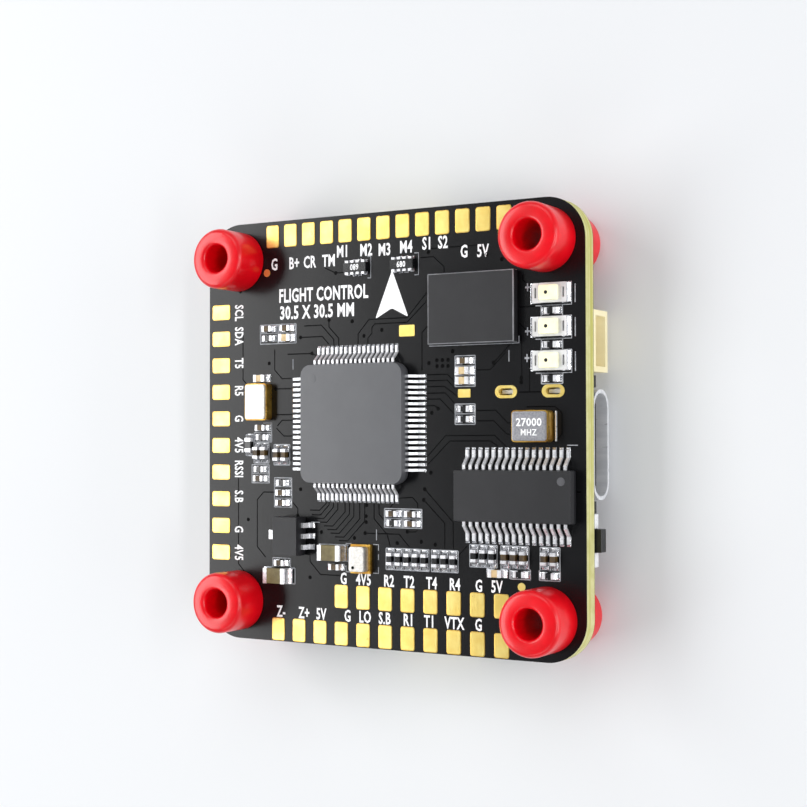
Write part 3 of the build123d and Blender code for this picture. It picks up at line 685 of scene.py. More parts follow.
# ---- lettering
@dataclass(frozen=True)
class Label:
    """One line of lettering: its middle, the height of its capitals, its turn and its narrowing."""

    FONT_CAPITAL: ClassVar[float] = 0.72
    LETTER_GAP: ClassVar[float] = 1.06

    text: str
    x: float
    y: float
    height: float = 1.05
    turn: float = 0.0
    squeeze: float = 0.66
    weight: float = 0.022

    def shape(self, level: float, rise: float, under: bool = False) -> Piece:
        """The lettering as a mesh on the bench.

        Args:
            level: the height of the surface that it lies on.
            rise: its thickness.
            under: it is read from below.

        Returns:
            The piece, still on the bench.
        """
        letters = Bench.add(bpy.ops.object.text_add)
        font = letters.data
        font.body, font.size, font.resolution_u, font.extrude = self.text, 1.0, 2, 0.5
        font.offset, font.space_character = self.weight, self.LETTER_GAP
        bpy.ops.object.convert(target="MESH")
        letters = bpy.context.object
        xs = [vertex.co.x for vertex in letters.data.vertices]
        scale = self.height / self.FONT_CAPITAL
        middle = Matrix.Translation((-(min(xs) + max(xs)) / 2, -self.FONT_CAPITAL / 2, 0))
        size = Matrix.Diagonal((scale * self.squeeze, scale, 2 * rise, 1))
        spin = Matrix.Rotation(math.radians(self.turn), 4, "Z")
        flip = Matrix.Rotation(math.pi, 4, "Y") if under else Matrix.Identity(4)
        letters.data.transform(Matrix.Translation((self.x, self.y, level)) @ flip @ spin @ size @ middle)
        return letters


def grid(columns: Sequence[float], rows: Sequence[float]) -> list[list[Point]]:
    """The printed lines of a box that may be divided into cells.

    Args:
        columns: where its upright lines stand.
        rows: where its level lines lie.

    Returns:
        The two ends of each line.
    """
    lines = [[(columns[0], y), (columns[-1], y)] for y in rows]
    return lines + [[(x, rows[0]), (x, rows[-1])] for x in columns]


# ---- sub-assemblies
@dataclass
class SubAssembly:
    """A group of pieces that belong together."""

    cad: CadModel

    @property
    def top(self) -> float:
        """The height of the component side."""
        return self.cad.box("solder_mask_top").high.z

    @property
    def bottom(self) -> float:
        """The height of the underside."""
        return self.cad.box("solder_mask_bottom").low.z

    def build(self) -> None:
        """Makes and dresses the group's pieces."""
        raise NotImplementedError


@dataclass
class MaskedBoard(SubAssembly):
    """The laminate, its two masks, and the copper tracks and vias that show through them."""

    track_width: float = 0.11
    track_rise: float = 0.02
    bus_start: float = -6.1
    bus_turn: float = -6.5
    bus_step: float = 0.19
    bus_fall: float = 0.9
    bus_spread: float = 0.12
    via_radius: float = 0.12
    via_tube: float = 0.055
    via_hole: float = 0.1
    under_scale: Point = (0.93, 0.9)
    under_shift: Point = (0.3, -0.4)
    tracks: tuple[Run, ...] = runs(
        (4.2, 4.6, 6.2, 4.6, 6.9, 3.95), (4.2, 4.1, 6.2, 4.1, 6.9, 3.4), (4.2, 3.6, 5.9, 3.6, 7.2, 2.7),
        (4.2, 3.05, 6, 3.05, 6.9, 2.1), (4.2, 2.55, 5.5, 2.55, 6.8, 1.3), (4.2, 2, 5, 2, 5.3, 1.75),
        (8.9, 1.55, 10.7, 1.55, 11.8, 0.5, 12.6, 0.5), (8.9, 0.7, 10.5, 0.7, 11.7, -0.4, 12.6, -0.4),
        (11.7, -1.5, 10.6, -0.5, 6, -0.5, 4.3, -2.2), (10.9, -1.4, 10.2, -0.95, 6.4, -0.95, 4.3, -2.9),
        (13.5, 1.8, 16, 1.8, 16.6, 1.3, 16.6, -0.4, 16, -1), (12.8, 3, 14.8, 3), (13.05, 7.6, 13.05, 3.9),
        (13.9, 6.4, 13.75, 6.2, 13.75, 3), (12, 6.9, 10.5, 5.45), (-1.9, -8.85, 1.5, -8.85, 2.5, -9.9),
        (-1, -6.2, -1, -7.6, 0.3, -8.9, 0.6, -9.9), (-0.5, -6.2, -0.5, -7.2, 0, -7.7),
        (0.6, -6.6, 1.3, -5.8, 2.8, -5.7, 3.3, -6.2, 3.3, -6.6), (4, -5, 6.7, -7.7, 6.7, -9.9),
        (3.9, -5.9, 5.9, -7.8, 5.9, -9.9), (2.3, -8.6, 3.1, -8.6, 3.3, -8.4),
        (-2.6, 7.3, -2.6, 8.3, -1.5, 9.5, 2.3, 9.5, 4.4, 11.7),
        (-1.6, 7.3, -1.6, 7.9, -1.2, 8.3, -1.2, 8.8, -0.9, 9.1, 2.3, 9.1, 4.4, 11),
        (3.75, 5, 3.75, 8.2, 4.3, 8.7), (-8.6, 8.2, -6.3, 8.2, -5.6, 7.5), (-10, 6.75, -7.4, 6.75, -6.6, 6.4),
        (-8.9, 4.6, -10.6, 4.6, -11.4, 5.4, -11.4, 7.2), (-9.3, 3.7, -11.3, 3.7), (-9.3, 1.4, -11.3, 1.4),
        (-9.3, 0.9, -10.6, 0.9, -11.1, 0.4), (-9.3, -0.5, -10.4, -0.5, -11.2, 0.2), (12.9, 9.9, 14.2, 9.9),
        (12.9, 8.6, 14, 7.5), (-4.6, 7.3, -4.6, 8, -5.6, 9, -5.6, 9.6),
        (-5.1, 7.3, -5.1, 7.9, -6.4, 9.2, -8.2, 9.2), (9, 4.9, 10.2, 4.9, 11.6, 6.3),
        (-11.2, -5.5, -12.6, -5.5, -13.3, -6.2, -13.3, -10.4, -12.4, -11.3),
        (-9.4, -6.4, -8.9, -6.9, -8.9, -7.5), (-4, -12.6, -6.5, -12.6, -7.6, -11.5, -7.6, -10.9, -9.4, -10.9),
        (-14.9, -3.2, -15.4, -3.7, -15.4, -12, -14.4, -13), (-14.1, 3.8, -14.9, 4.6, -14.9, 8.9),
        (-7.6, -7, -6.6, -7, -5.4, -5.9), (10, 14.3, 9, 15.2, 4, 15.2),
        (3.6, 14.5, 4.9, 14.5, 5.9, 13.6, 5.9, 13.1), (-3.7, 13.7, -4.9, 13.7, -6, 14.2),
        (13.9, 11.4, 13.2, 12.1, 13.2, 12.5), (16.4, -5, 18.2, -5), (7.2, -10.4, 8, -9.6),
    )
    bus: tuple[float, ...] = (-5.6, -5.15, -4.7, -3.95, -3.5, -3.05, -2.45, -1.95)
    vias: Run = runs((
        4.43, 5.58, 10.5, 5.45, 6.7, 6.5, 5.3, 1.75, 4.7, 1.4, -1.75, -6.45, -1.8, -7.4, -1.8, -7.9,
        1.3, -9.6, 3.65, -9.4, 5, -9.6, 2.3, -8.6, -1.9, -8.85, -3.2, 9.4, -0.2, 8.55, -2, 8.1, -5.6, 9.6,
        -7.4, 6.75, -8.6, 8.2, -11.3, 3.7, -4.9, 13.7, 13.9, 13.2, 9.9, 14.4, 4.4, 14.9, 7, -6.3, -8.9, -7.5,
        4.6, -3.6, 3.9, -5.9, 4, -5, -15.2, 12.6, -14.3, -8, -7.6, -12.9, -6.4, -8.9, -3, -9.3, -8.6, -5.2,
        -12, 6, 11.3, 13.9, 12.3, 15, 5.2, 5.8, 5.73, 5.8, 6.26, 5.8, 5.2, 5.3, 5.73, 5.3, 6.26, 5.3,
        13.02, 4.15, 13.02, 3.8,
    ))[0]
    lower_tracks: tuple[Run, ...] = runs(
        (-1, 13.6, -1, 9, 1.5, 6.5, 1.5, 5), (0, 13.6, 0, 9.6, 2.4, 7.2, 2.4, 5),
        (-2, 13.6, -2, 8.4, -0.6, 7, -0.6, 3), (-3, 13.6, -3, 5, -2.4, 4.4, -2.4, 3),
        (1.5, -13.6, 1.5, -9.6, 0.2, -8.3, 0.2, -1), (2.5, -13.6, 2.5, -9, 1.2, -7.7, 1.2, -0.4),
        (3.5, -13.6, 3.5, -10.6, 5.6, -8.5, 5.6, -4.2), (10.2, 0, 7.4, 0, 5.6, 1.8),
        (10.2, -1, 7, -1, 5.4, 0.6), (10.2, -2.6, 8, -2.6, 6.6, -4, 6.6, -7.6),
        (13.6, 7.1, 11, 7.1, 9.6, 5.7), (13.6, 8.1, 10.6, 8.1, 9.8, 8.9), (-4.6, 13.6, -4.6, 11.6, -6.2, 10),
        (-4.4, -12, -9.8, -12, -13.2, -9.6), (-3.8, 0.6, -5.4, 0.6, -6.2, 1.4),
        (-3.8, 1.4, -5, 1.4, -5.9, 2.3, -5.9, 4.6),
    )

    def build(self) -> None:
        """Dresses the board and lays the tracks and vias on both of its faces."""
        self.cad.dress(Finishes.LAMINATE, "pcb_laminate")
        self.cad.dress(Finishes.MASK, "solder_mask_top", "solder_mask_bottom")
        routes = list(self.tracks)
        for index, x in enumerate(self.bus):
            turn = self.bus_turn - self.bus_step * index
            fall = self.bus_fall + self.bus_spread * index
            end = x - fall - self.bus_fall
            routes.append(((x, self.bus_start), (x, turn), (x - fall, turn - fall), (end, turn - fall)))
        top = Bench.ribbons(routes, self.track_width, self.track_rise, self.top)
        Bench.finish(top, "top_tracks", Finishes.TRACK)
        low = Bench.ribbons(self.lower_tracks, self.track_width * 1.2, self.track_rise, self.bottom)
        Bench.finish(low, "underside_tracks", Finishes.TRACK)
        self.lay_vias()

    def lay_vias(self) -> None:
        """Masked via rims, each with the shadow of its hole, on both faces."""
        rim = Bench.add(bpy.ops.mesh.primitive_torus_add, major_radius=self.via_radius,
                        minor_radius=self.via_tube, major_segments=16, minor_segments=6)
        rim.data.transform(Matrix.Diagonal((1, 1, 0.5, 1)))
        # A near-black disc in each rim paints the shade inside the via's hole.
        shade_disc = Bench.disc(Vector((0, 0, 0)), self.via_hole, 0.008, 12)
        (scale_x, scale_y), (shift_x, shift_y) = self.under_scale, self.under_shift
        places = []
        for x, y in self.vias:
            places.append(Matrix.Translation((x, y, self.top)))
            below = Matrix.Translation((x * scale_x + shift_x, y * scale_y + shift_y, self.bottom))
            places.append(below @ Matrix.Rotation(math.pi, 4, "X"))
        Bench.finish(Bench.copies(rim, places), "via_rims", Finishes.TRACK)
        Bench.finish(Bench.copies(shade_disc, places), "via_hole_shadows", Finishes.CAVITY_SHADOW)


@dataclass
class Legend(SubAssembly):
    """The printed outlines, marks and lettering on both faces."""

    line: float = 0.09
    ink: float = 0.02
    front_row: tuple[tuple[str, float, float], ...] = (
        ("G", -11.43, 14.86), ("B+", -9.27, 14.86), ("CR", -7.6, 14.86), ("TM", -5.64, 14.86),
        ("M1", -4.23, 15.58), ("M2", -1.75, 15.55), ("M3", 0.09, 15.46), ("M4", 2.25, 15.55),
        ("S1", 4.2, 15.7), ("S2", 5.8, 15.7), ("G", 7.8, 14.8), ("5V", 9.58, 14.75),
    )
    left_column: tuple[tuple[str, float], ...] = (
        ("SCL", 10.66), ("SDA", 8.55), ("T5", 6.1), ("R5", 3.6), ("G", 1.1), ("4V5", -1.3), ("RSSI", -3.46),
        ("S.B", -5.95), ("G", -8.9), ("4V5", -11.0),
    )
    inner_row: tuple[tuple[str, float], ...] = (
        ("G", -4.1), ("4V5", -2.08), ("R2", 0.5), ("T2", 2.46), ("T4", 4.64), ("R4", 6.87), ("G", 9.09),
        ("5V", 10.77),
    )
    rear_row: tuple[tuple[str, float], ...] = (
        ("Z-", -10.7), ("Z+", -8.25), ("5V", -6.4), ("G", -3.7), ("LO", -1.9), ("S.B", 0.05), ("R1", 2.35),
        ("T1", 4.35), ("VTX", 6.8), ("G", 9.05),
    )

    under_words: tuple[tuple[Union[str, float], ...], ...] = (
        ("ESC", -1.5, 11.3, 1.2), ("VIDEO", 2.5, -12.7, 1.2), ("1", 5.2, 11.3, 1.0), ("1", -1.4, -12.7, 1.0),
        ("USB", 8.6, -1.3, 1.2, 90.0), ("BOOT", 13.2, -9.0, 1.1, 90.0), ("IMU", -2.0, -1.2, 0.9),
        ("SIG", 12.6, 7.1, 1.1, 90.0), ("5V", -16.2, 2.0, 1.1), ("9V", -16.2, -9.0, 1.1),
        ("G", -16.2, 9.2, 1.1), ("L1", -9.6, 8.7, 0.8), ("L2", -9.6, -0.6, 0.8),
    )
    print_limit: float = 18.4
    framed: tuple[tuple[tuple[float, ...], tuple[str, ...]], ...] = (
        ((0.42, 0.16, 0), ("underside_resistor_bodies",)), ((0.55, 0.16, 0), ("underside_capacitor_bodies",)),
        ((0.25, 0.25, 0), ("imu_sensor", "esc_connector_housing", "video_connector_housing",
                           "signal_connector_housing", "power_inductors", "boot_switch_base")),
    )
    arrow: Run = ((0.85, 13.62), (-0.84, 9.5), (0.81, 10.37), (2.44, 9.55))
    separate: tuple[Run, ...] = runs(
        (-12.63, 0.67, -11.72, 0.67, -11.72, -0.2), (-6.68, -9.94, -3.6, -9.94), (11.9, -11.35, 11.9, -12.13),
        (4.47, 7, 12.82, 7, 12.82, 7.57), (3.05, 14.93, 3.44, 14.93, 3.44, 13.08, 3.05, 13.08),
        (-1.62, 14.93, -1.3, 14.93, -1.3, 13.08, -1.62, 13.08), (17.79, 11.55, 17.79, 10.07),
        (17.79, 8.87, 17.79, 7.36), (17.79, 6.14, 17.79, 4.6), (-3.84, -10.3, -3.84, -9.8, -3.3, -9.8),
        (-1.1, -9.8, -0.56, -9.8, -0.56, -10.3), (-0.56, -10.6, -0.56, -11.1),
        (-0.56, -11.7, -0.56, -12.24, -1.1, -12.24), (-3.3, -12.24, -3.84, -12.24, -3.84, -11.7),
    )
    cells: tuple[tuple[Sequence[float], Sequence[float]], ...] = (
        ((-13.63, -11.72), (-0.2, -1.02)), ((-13.67, -12.84, -12.02), (-1.11, -2.92)),
        ((-13.89, -11.98), (-3.07, -3.87, -4.69)), ((-11.46, -10.61, -9.76), (-1.26, -3.07)),
        ((-11.41, -9.54), (-4.22, -4.98, -6.02, -6.8)), ((-14.54, -13.7), (-0.37, -2.24)),
        ((-11.6, -9.68), (-11.32, -12.16)), ((-12.28, -9.2), (-12.16, -13.56)),
        ((0.04, 1.88, 3.72), (-6.7, -7.52, -8.3)), ((0.2, 1.02, 1.88, 2.72, 3.56, 4.4), (-10.06, -11.86)),
        ((4.62, 5.44, 6.32, 7.16), (-10.06, -11.86)), ((8.26, 9.1, 9.94, 10.78), (-9.48, -11.3)),
        ((11.13, 11.96, 12.83, 13.63), (-9.48, -11.35)), ((14.65, 15.52, 16.37), (-9.48, -11.35)),
        ((11.96, 13.78), (-11.35, -12.13)), ((14.57, 16.39), (-11.35, -12.13)),
        ((6.92, 8.81), (6.1, 5.26, 4.49, 3.56)), ((6.92, 8.79), (2.1, 1.29, 0.42)),
        ((-12.97, -11.03), (9.44, 8.68, 7.74)), ((-10.98, -9.07), (9.44, 8.68, 7.74)),
        ((14.82, 16.69), (9.93, 9.05)), ((14.82, 16.69), (7.23, 6.32)), ((14.82, 16.69), (4.48, 3.63)),
    )

    def build(self) -> None:
        """Prints both faces."""
        outlines = Bench.ribbons(self.outlines(), self.line, self.ink, self.top)
        Bench.finish(outlines, "printed_outlines", Finishes.OUTLINE_INK)
        Bench.letter("printed_marks", self.marks(), self.top, self.ink, Finishes.OUTLINE_INK)
        Bench.letter("printed_labels", self.labels(), self.top, self.ink)
        arrow = Bench.flat_shape(self.arrow, self.top, self.ink, 0.22)
        Bench.finish(arrow, "flight_arrow", Finishes.INK, smooth=20)
        self.print_underside()

    def outlines(self) -> list[Run]:
        """The outlines round the parts on the component side."""
        lines = list(self.separate)
        for high, low in ((11.74, 9.93), (9.05, 7.23), (6.33, 4.49)):
            lines.append(((14.74, high), (17.48, high), (17.48, low), (14.32, low)))
        for columns, rows in self.cells:
            lines += grid(columns, rows)
        return lines

    def marks(self) -> list[Label]:
        """Pin-one figures and plus signs."""
        return [
            Label("+", 13.62, 11.47, 0.9), Label("+", 13.6, 7.91, 0.9), Label("+", 13.55, 5.75, 0.9),
            *(Label("1", x, y, 1.0, turn, weight=-0.01) for x, y, turn in (
                (-9.4, 5.86, 0), (-0.75, -8.94, 0), (11.92, 5.95, 180), (-7, -8.05, -90), (17.54, -1.3, -90))),
        ]

    def labels(self) -> list[Label]:
        """The lettering beside the pads, and the two lines above the chip."""
        found = [Label(text, x, y) for text, x, y in self.front_row]
        found += [Label(text, -15.3, y, 0.93, -90.0) for text, y in self.left_column]
        found += [Label(text, x, -12.8, 1.0) for text, x in self.inner_row]
        found += [Label(text, x, -16.0, 1.0) for text, x in self.rear_row]
        found += [Label("FLIGHT CONTROL", -6.22, 12.0, 1.2, squeeze=0.64, weight=0.026),
                  Label("30.5 X 30.5 MM", -6.9, 10.48, 1.17, squeeze=0.7, weight=0.026)]
        return found

    def print_underside(self) -> None:
        """Outlines round the parts underneath, with short names for the sockets."""
        lines = []
        limit = self.print_limit
        for margins, nodes in self.framed:
            for part in (solid for node in nodes for solid in self.cad.solids(node)):
                low, high = part.low - Vector(margins), part.high + Vector(margins)
                columns, rows = ((max(low[axis], -limit), min(high[axis], limit)) for axis in (0, 1))
                lines += grid(columns, rows)
        outlines = Bench.ribbons(lines, self.line, self.ink, self.bottom)
        Bench.finish(outlines, "underside_outlines", Finishes.OUTLINE_INK)
        Bench.letter("underside_labels", [Label(*words) for words in self.under_words], self.bottom, self.ink,
                     under=True)


@dataclass
class SolderPads(SubAssembly):
    """The gold pads along three edges, the test pads and the plated slots."""

    corner: float = 0.2
    border: float = 0.075
    slope: float = 0.012

    def build(self) -> None:
        """Shapes each group of pads from one master pad for each size."""
        for node in ("pads_front_edge", "pads_left_edge", "pads_rear_edge"):
            solids = self.cad.solids(node)
            pad = self.master(solids[0].size)
            places = [Matrix.Translation(solid.centre) for solid in solids]
            # The sloping borders take a darker gold, painted shade round each pad.
            Bench.finish(Bench.copies(pad, places), f"{node}_plated", Finishes.GOLD, replaces=[node],
                         slope_shade=Finishes.EDGE_GOLD_SHADE)
        self.cad.dress(Finishes.GOLD, "test_pads", "usb_slot_plating")

    def master(self, size: Vector) -> Piece:
        """One pad about the origin: a rounded plate whose border slopes down to the mask."""
        half = size / 2
        pad = Bench.block(Block(-half, Vector((half.x, half.y, half.z - self.slope))))
        with Bench.editing(pad):
            Bench.pick_edges(pad, lambda a, b: abs(a.z - b.z) > 0.5 * size.z)
            bpy.ops.mesh.bevel(offset=self.corner, segments=4, affect="EDGES")
            Bench.pick_faces(pad, lambda c, n: n.z > FACES_UP)
            bpy.ops.mesh.inset(thickness=self.border)
            bpy.ops.transform.translate(value=(0, 0, self.slope))
        return pad


@dataclass
class Grommets(SubAssembly):
    """Four soft bobbins in the mounting holes."""

    steps: int = 96
    bore: float = 1.22
    neck: float = 1.98
    flange: float = 2.66
    rim: float = 0.52
    lip: float = 0.3
    foot: float = 0.12
    crown: float = 0.05
    shoulder: float = 1.98
    ridge: float = 1.74

    def section(self) -> list[Point]:
        """The closed section of the ring, from the bore's foot outwards and back over the top."""
        height, bottom, top = self.cad.box("grommet_front_left").high.z, self.bottom, self.top
        points: list[Point] = []

        def arc(centre: Point, radius: float, start: float, end: float, count: int) -> None:
            """Adds the points of a rounded corner, by angles in degrees."""
            for index in range(count + 1):
                angle = math.radians(start + (end - start) * index / count)
                points.append((centre[0] + radius * math.cos(angle), centre[1] + radius * math.sin(angle)))

        arc((self.bore + self.lip, self.lip), self.lip, 180, 270, 5)
        points.append(((self.bore + self.flange) / 2, 0.0))
        arc((self.flange - self.rim, self.rim + self.crown / 2), self.rim, 275, 360, 8)
        points.append((self.flange, bottom / 2))
        arc((self.flange - self.foot, bottom - self.foot), self.foot, 0, 90, 3)
        points += [(self.neck + 0.05, bottom), (self.neck, bottom + 0.1), (self.neck, top - 0.1),
                   (self.neck + 0.05, top)]
        arc((self.flange - self.foot, top + self.foot), self.foot, 270, 360, 3)
        points.append((self.flange, (top + height) / 2))
        arc((self.flange - self.rim, height - self.rim - self.crown), self.rim, 0, 84, 8)
        points += [(self.shoulder, height - 0.012), (self.ridge, height)]
        arc((self.bore + self.lip, height - self.lip), self.lip, 92, 180, 5)
        points += [(self.bore, height * share) for share in (0.8, 0.6, 0.4, 0.2)]
        return points

    def build(self) -> None:
        """Turns one bobbin and copies it to the four holes."""
        section = self.section()
        for end in ("front", "rear"):
            for side in ("left", "right"):
                node = f"grommet_{end}_{side}"
                centre = self.cad.box(node).centre
                ring = Bench.lathe(section, self.steps)
                ring.data.transform(Matrix.Translation((centre.x, centre.y, 0)))
                Bench.finish(ring, f"{node}_moulded", Finishes.SILICONE, replaces=[node], smooth=50)


@dataclass
class SolderJoints(SubAssembly):
    """Solder at the feet of the surface-mounted parts: a flat land, and a hollow fillet up the metal."""

    land_rise: float = 0.035
    land_margin: float = 0.1
    lead_margin: float = 0.06
    climb: float = 0.8
    sink: float = 0.01
    full_width: float = 0.5
    fillet_reach: float = 0.85
    fillet_width: float = 0.96
    scoop: float = 0.93
    hollow: float = 0.16
    toe_reach: float = 0.8
    toe_height: float = 0.11

    def fillet(self) -> Piece:
        """A unit fillet: x from 0 to 1 away from the part, z up the metal, its front scooped out."""
        piece = Bench.block(Block(Vector((0, -0.5, 0)), Vector((1, 0.5, 1))))
        with Bench.editing(piece):
            Bench.pick_edges(piece, lambda a, b: min(a.x, b.x) > 0.9 and min(a.z, b.z) > 0.9)
            bpy.ops.mesh.bevel(offset=self.scoop, segments=4, profile=self.hollow, affect="EDGES")
        return piece

    @staticmethod
    def frame(foot: Vector, away: Vector, up: float, size: Vector) -> Matrix:
        """The place of a fillet or land.

        Args:
            foot: the middle of its inner edge on the board.
            away: the level direction away from the part.
            up: 1 on the component side and -1 underneath.
            size: its reach, width and height.

        Returns:
            The matrix that takes the unit shape there.
        """
        normal = Vector((0, 0, up))
        across = normal.cross(away)
        place = Matrix((away * size.x, across * size.y, normal * size.z)).transposed().to_4x4()
        place.translation = foot
        return place

    @staticmethod
    def axis(away: Vector, along_x: bool) -> Vector:
        """The unit vector on the X or the Y axis that points the same way."""
        return Vector((math.copysign(1, away.x), 0, 0)) if along_x else Vector((0, math.copysign(1, away.y), 0))

    def ends(self, metal: str, bodies: Sequence[str]) -> list[tuple[Block, Vector]]:
        """Each metal end of a node, with the direction away from the body that it belongs to."""
        cores = [body for node in bodies for body in self.cad.solids(node)]
        found = []
        for end in self.cad.solids(metal):
            core = min(cores, key=lambda body: (body.centre - end.centre).xy.length)
            away = end.centre - core.centre
            found.append((end, self.axis(away, abs(away.x) > abs(away.y))))
        return found

    def build(self) -> None:
        """Solders the chips, the passives and the leads on both faces."""
        chips = ("chip_resistor_bodies", "chip_capacitor_bodies", "pale_capacitor_bodies",
                 "bulk_capacitor_bodies", "diode_body")
        under = ("underside_resistor_bodies", "underside_capacitor_bodies")
        self.solder("top_solder", self.ends("chip_terminals", chips))
        self.solder("array_solder", self.ends("resistor_array_terminals", ["resistor_array_bodies"]), reach=0.2)
        self.solder("underside_solder", self.ends("underside_terminals", under), up=-1.0)
        self.solder("light_solder", self.ends("led_terminals", ["led_lenses"]), reach=0.34)
        self.lead_lands("mcu_leads", "mcu_body", 0.62, 0.16, 0.29)
        self.lead_lands("osd_chip_leads", "osd_chip_body", 0.66, 0.2, 0.36)
        self.lead_lands("regulator_leads", "regulator_body", 0.5, 0.1, 0.5)

    def solder(self, name: str, ends: list[tuple[Block, Vector]], up: float = 1.0, reach: float = 0.38) -> None:
        """A land and a fillet for each metal end."""
        level = self.top if up > 0 else self.bottom
        fillets, lands = [], []
        for end, away in ends:
            along, width = end.span(away)
            foot = Vector((end.centre.x, end.centre.y, level)) + away * (along / 2 - self.sink)
            share = min(1.0, width / self.full_width)
            fillet = Vector((reach * self.fillet_reach * share, width * self.fillet_width,
                             end.size.z * self.climb))
            fillets.append(self.frame(foot, away, up, fillet))
            land = Vector((along + reach * share, width + self.land_margin, self.land_rise))
            lands.append(self.frame(foot - away * along, away, up, land))
        self.join(name, fillets, lands)

    def join(self, name: str, fillets: Sequence[Matrix], lands: Sequence[Matrix]) -> None:
        """Finishes all the solder of a group as one piece."""
        solder = [Bench.copies(self.fillet(), fillets), Bench.copies(self.land(), lands)]
        Bench.finish(Bench.join(solder), name, Finishes.SOLDER, smooth=50)

    def land(self) -> Piece:
        """A unit land: a thin plate with softened upper edges, from x 0 to 1."""
        piece = Bench.block(Block(Vector((0, -0.5, -0.2)), Vector((1, 0.5, 1))))
        with Bench.editing(piece):
            Bench.pick_faces(piece, lambda c, n: n.z > FACES_UP)
            bpy.ops.transform.resize(value=(0.9, 0.86, 1.0), center_override=(0.45, 0, 1))
        return piece

    def lead_lands(self, leads: str, body: str, foot: float, reach: float, width: float) -> None:
        """Lands and toe fillets under a row of bent leads.

        Args:
            leads: the node with the leads.
            body: the chip that they belong to.
            foot: how much of each lead lies flat.
            reach: how far a land runs past the toe.
            width: the width of a land.
        """
        core = self.cad.box(body)
        lands, toes = [], []
        for lead in self.cad.solids(leads):
            away = lead.centre - core.centre
            level = self.axis(away, abs(away.x) - core.size.x / 2 > abs(away.y) - core.size.y / 2)
            along, own = lead.span(level)
            tip = Vector((lead.centre.x, lead.centre.y, self.top)) + level * along / 2
            land = Vector((foot + reach, max(width, own + self.lead_margin), self.land_rise))
            lands.append(self.frame(tip - level * foot, level, 1.0, land))
            toe = Vector((reach * self.toe_reach, own, self.toe_height))
            toes.append(self.frame(tip - level * self.sink, level, 1.0, toe))
        self.join(f"{leads}_solder", toes, lands)


@dataclass
class Chips(SubAssembly):
    """The moulded chips with their leads and round marks, and the chip passives."""

    dot_radius: float = 0.34
    dot_inset: float = 0.9
    dimple_radius: float = 0.4
    dimple_inset: float = 1.3
    edge_break: float = 0.035

    def build(self) -> None:
        """Dresses the CAD shapes and adds the marks."""
        dress = self.cad.dress
        dress(Finishes.EPOXY_AND_SHEEN, "mcu_body")
        dress(Finishes.EPOXY_DARK, "osd_chip_body", "memory_chip_body", "regulator_body", "converter_chips",
              "imu_sensor", "usb_protection_chips")
        # The broken edges are finished in a lighter grey, a painted highlight along each chip's edges.
        for body in ("mcu_body", "osd_chip_body", "memory_chip_body", "regulator_body"):
            self.cad.soften(body, self.edge_break, Finishes.EPOXY_EDGE_HIGHLIGHT)
        dress(Finishes.TIN, "mcu_leads", "osd_chip_leads", "regulator_leads", "converter_leads",
              "chip_terminals", "underside_terminals", "resistor_array_terminals", "inductor_terminals")
        dress(Finishes.GOLD, "memory_chip_lands")
        dress(Finishes.RESISTOR, "chip_resistor_bodies", "resistor_array_bodies", "underside_resistor_bodies",
              "diode_body")
        dress(Finishes.CAPACITOR, "chip_capacitor_bodies")
        dress(Finishes.PALE, "pale_capacitor_bodies")
        dress(Finishes.KHAKI, "bulk_capacitor_bodies", "underside_capacitor_bodies")
        dress(Finishes.FERRITE, "power_inductors")
        self.mark_chips()
        self.mark_arrays()

    def mark_chips(self) -> None:
        """A round pin-one mark on the display chip and a moulded dimple on the processor."""
        display = self.cad.box("osd_chip_body")
        dot = Bench.disc(display.high - Vector((self.dot_inset, self.dot_inset, 0)), self.dot_radius, 0.012, 32)
        Bench.finish(dot, "osd_chip_dot", Finishes.MARK_GREY)
        main = self.cad.box("mcu_body")
        corner = Vector((main.low.x + self.dimple_inset, main.high.y - self.dimple_inset, main.high.z))
        dimple = Bench.disc(corner, self.dimple_radius, 0.01, 32)
        Bench.finish(dimple, "mcu_dimple", Finishes.EPOXY_AND_SHEEN)

    def mark_arrays(self) -> None:
        """The resistance codes on the two resistor arrays, one of them mounted the other way round."""
        arrays = self.cad.solids("resistor_array_bodies")
        turned = zip(sorted(arrays, key=lambda a: a.centre.x), (180.0, 0.0))
        codes = [Label("680", part.centre.x, part.centre.y, 0.5, turn, 0.8) for part, turn in turned]
        Bench.letter("array_codes", codes, arrays[0].high.z, 0.01)


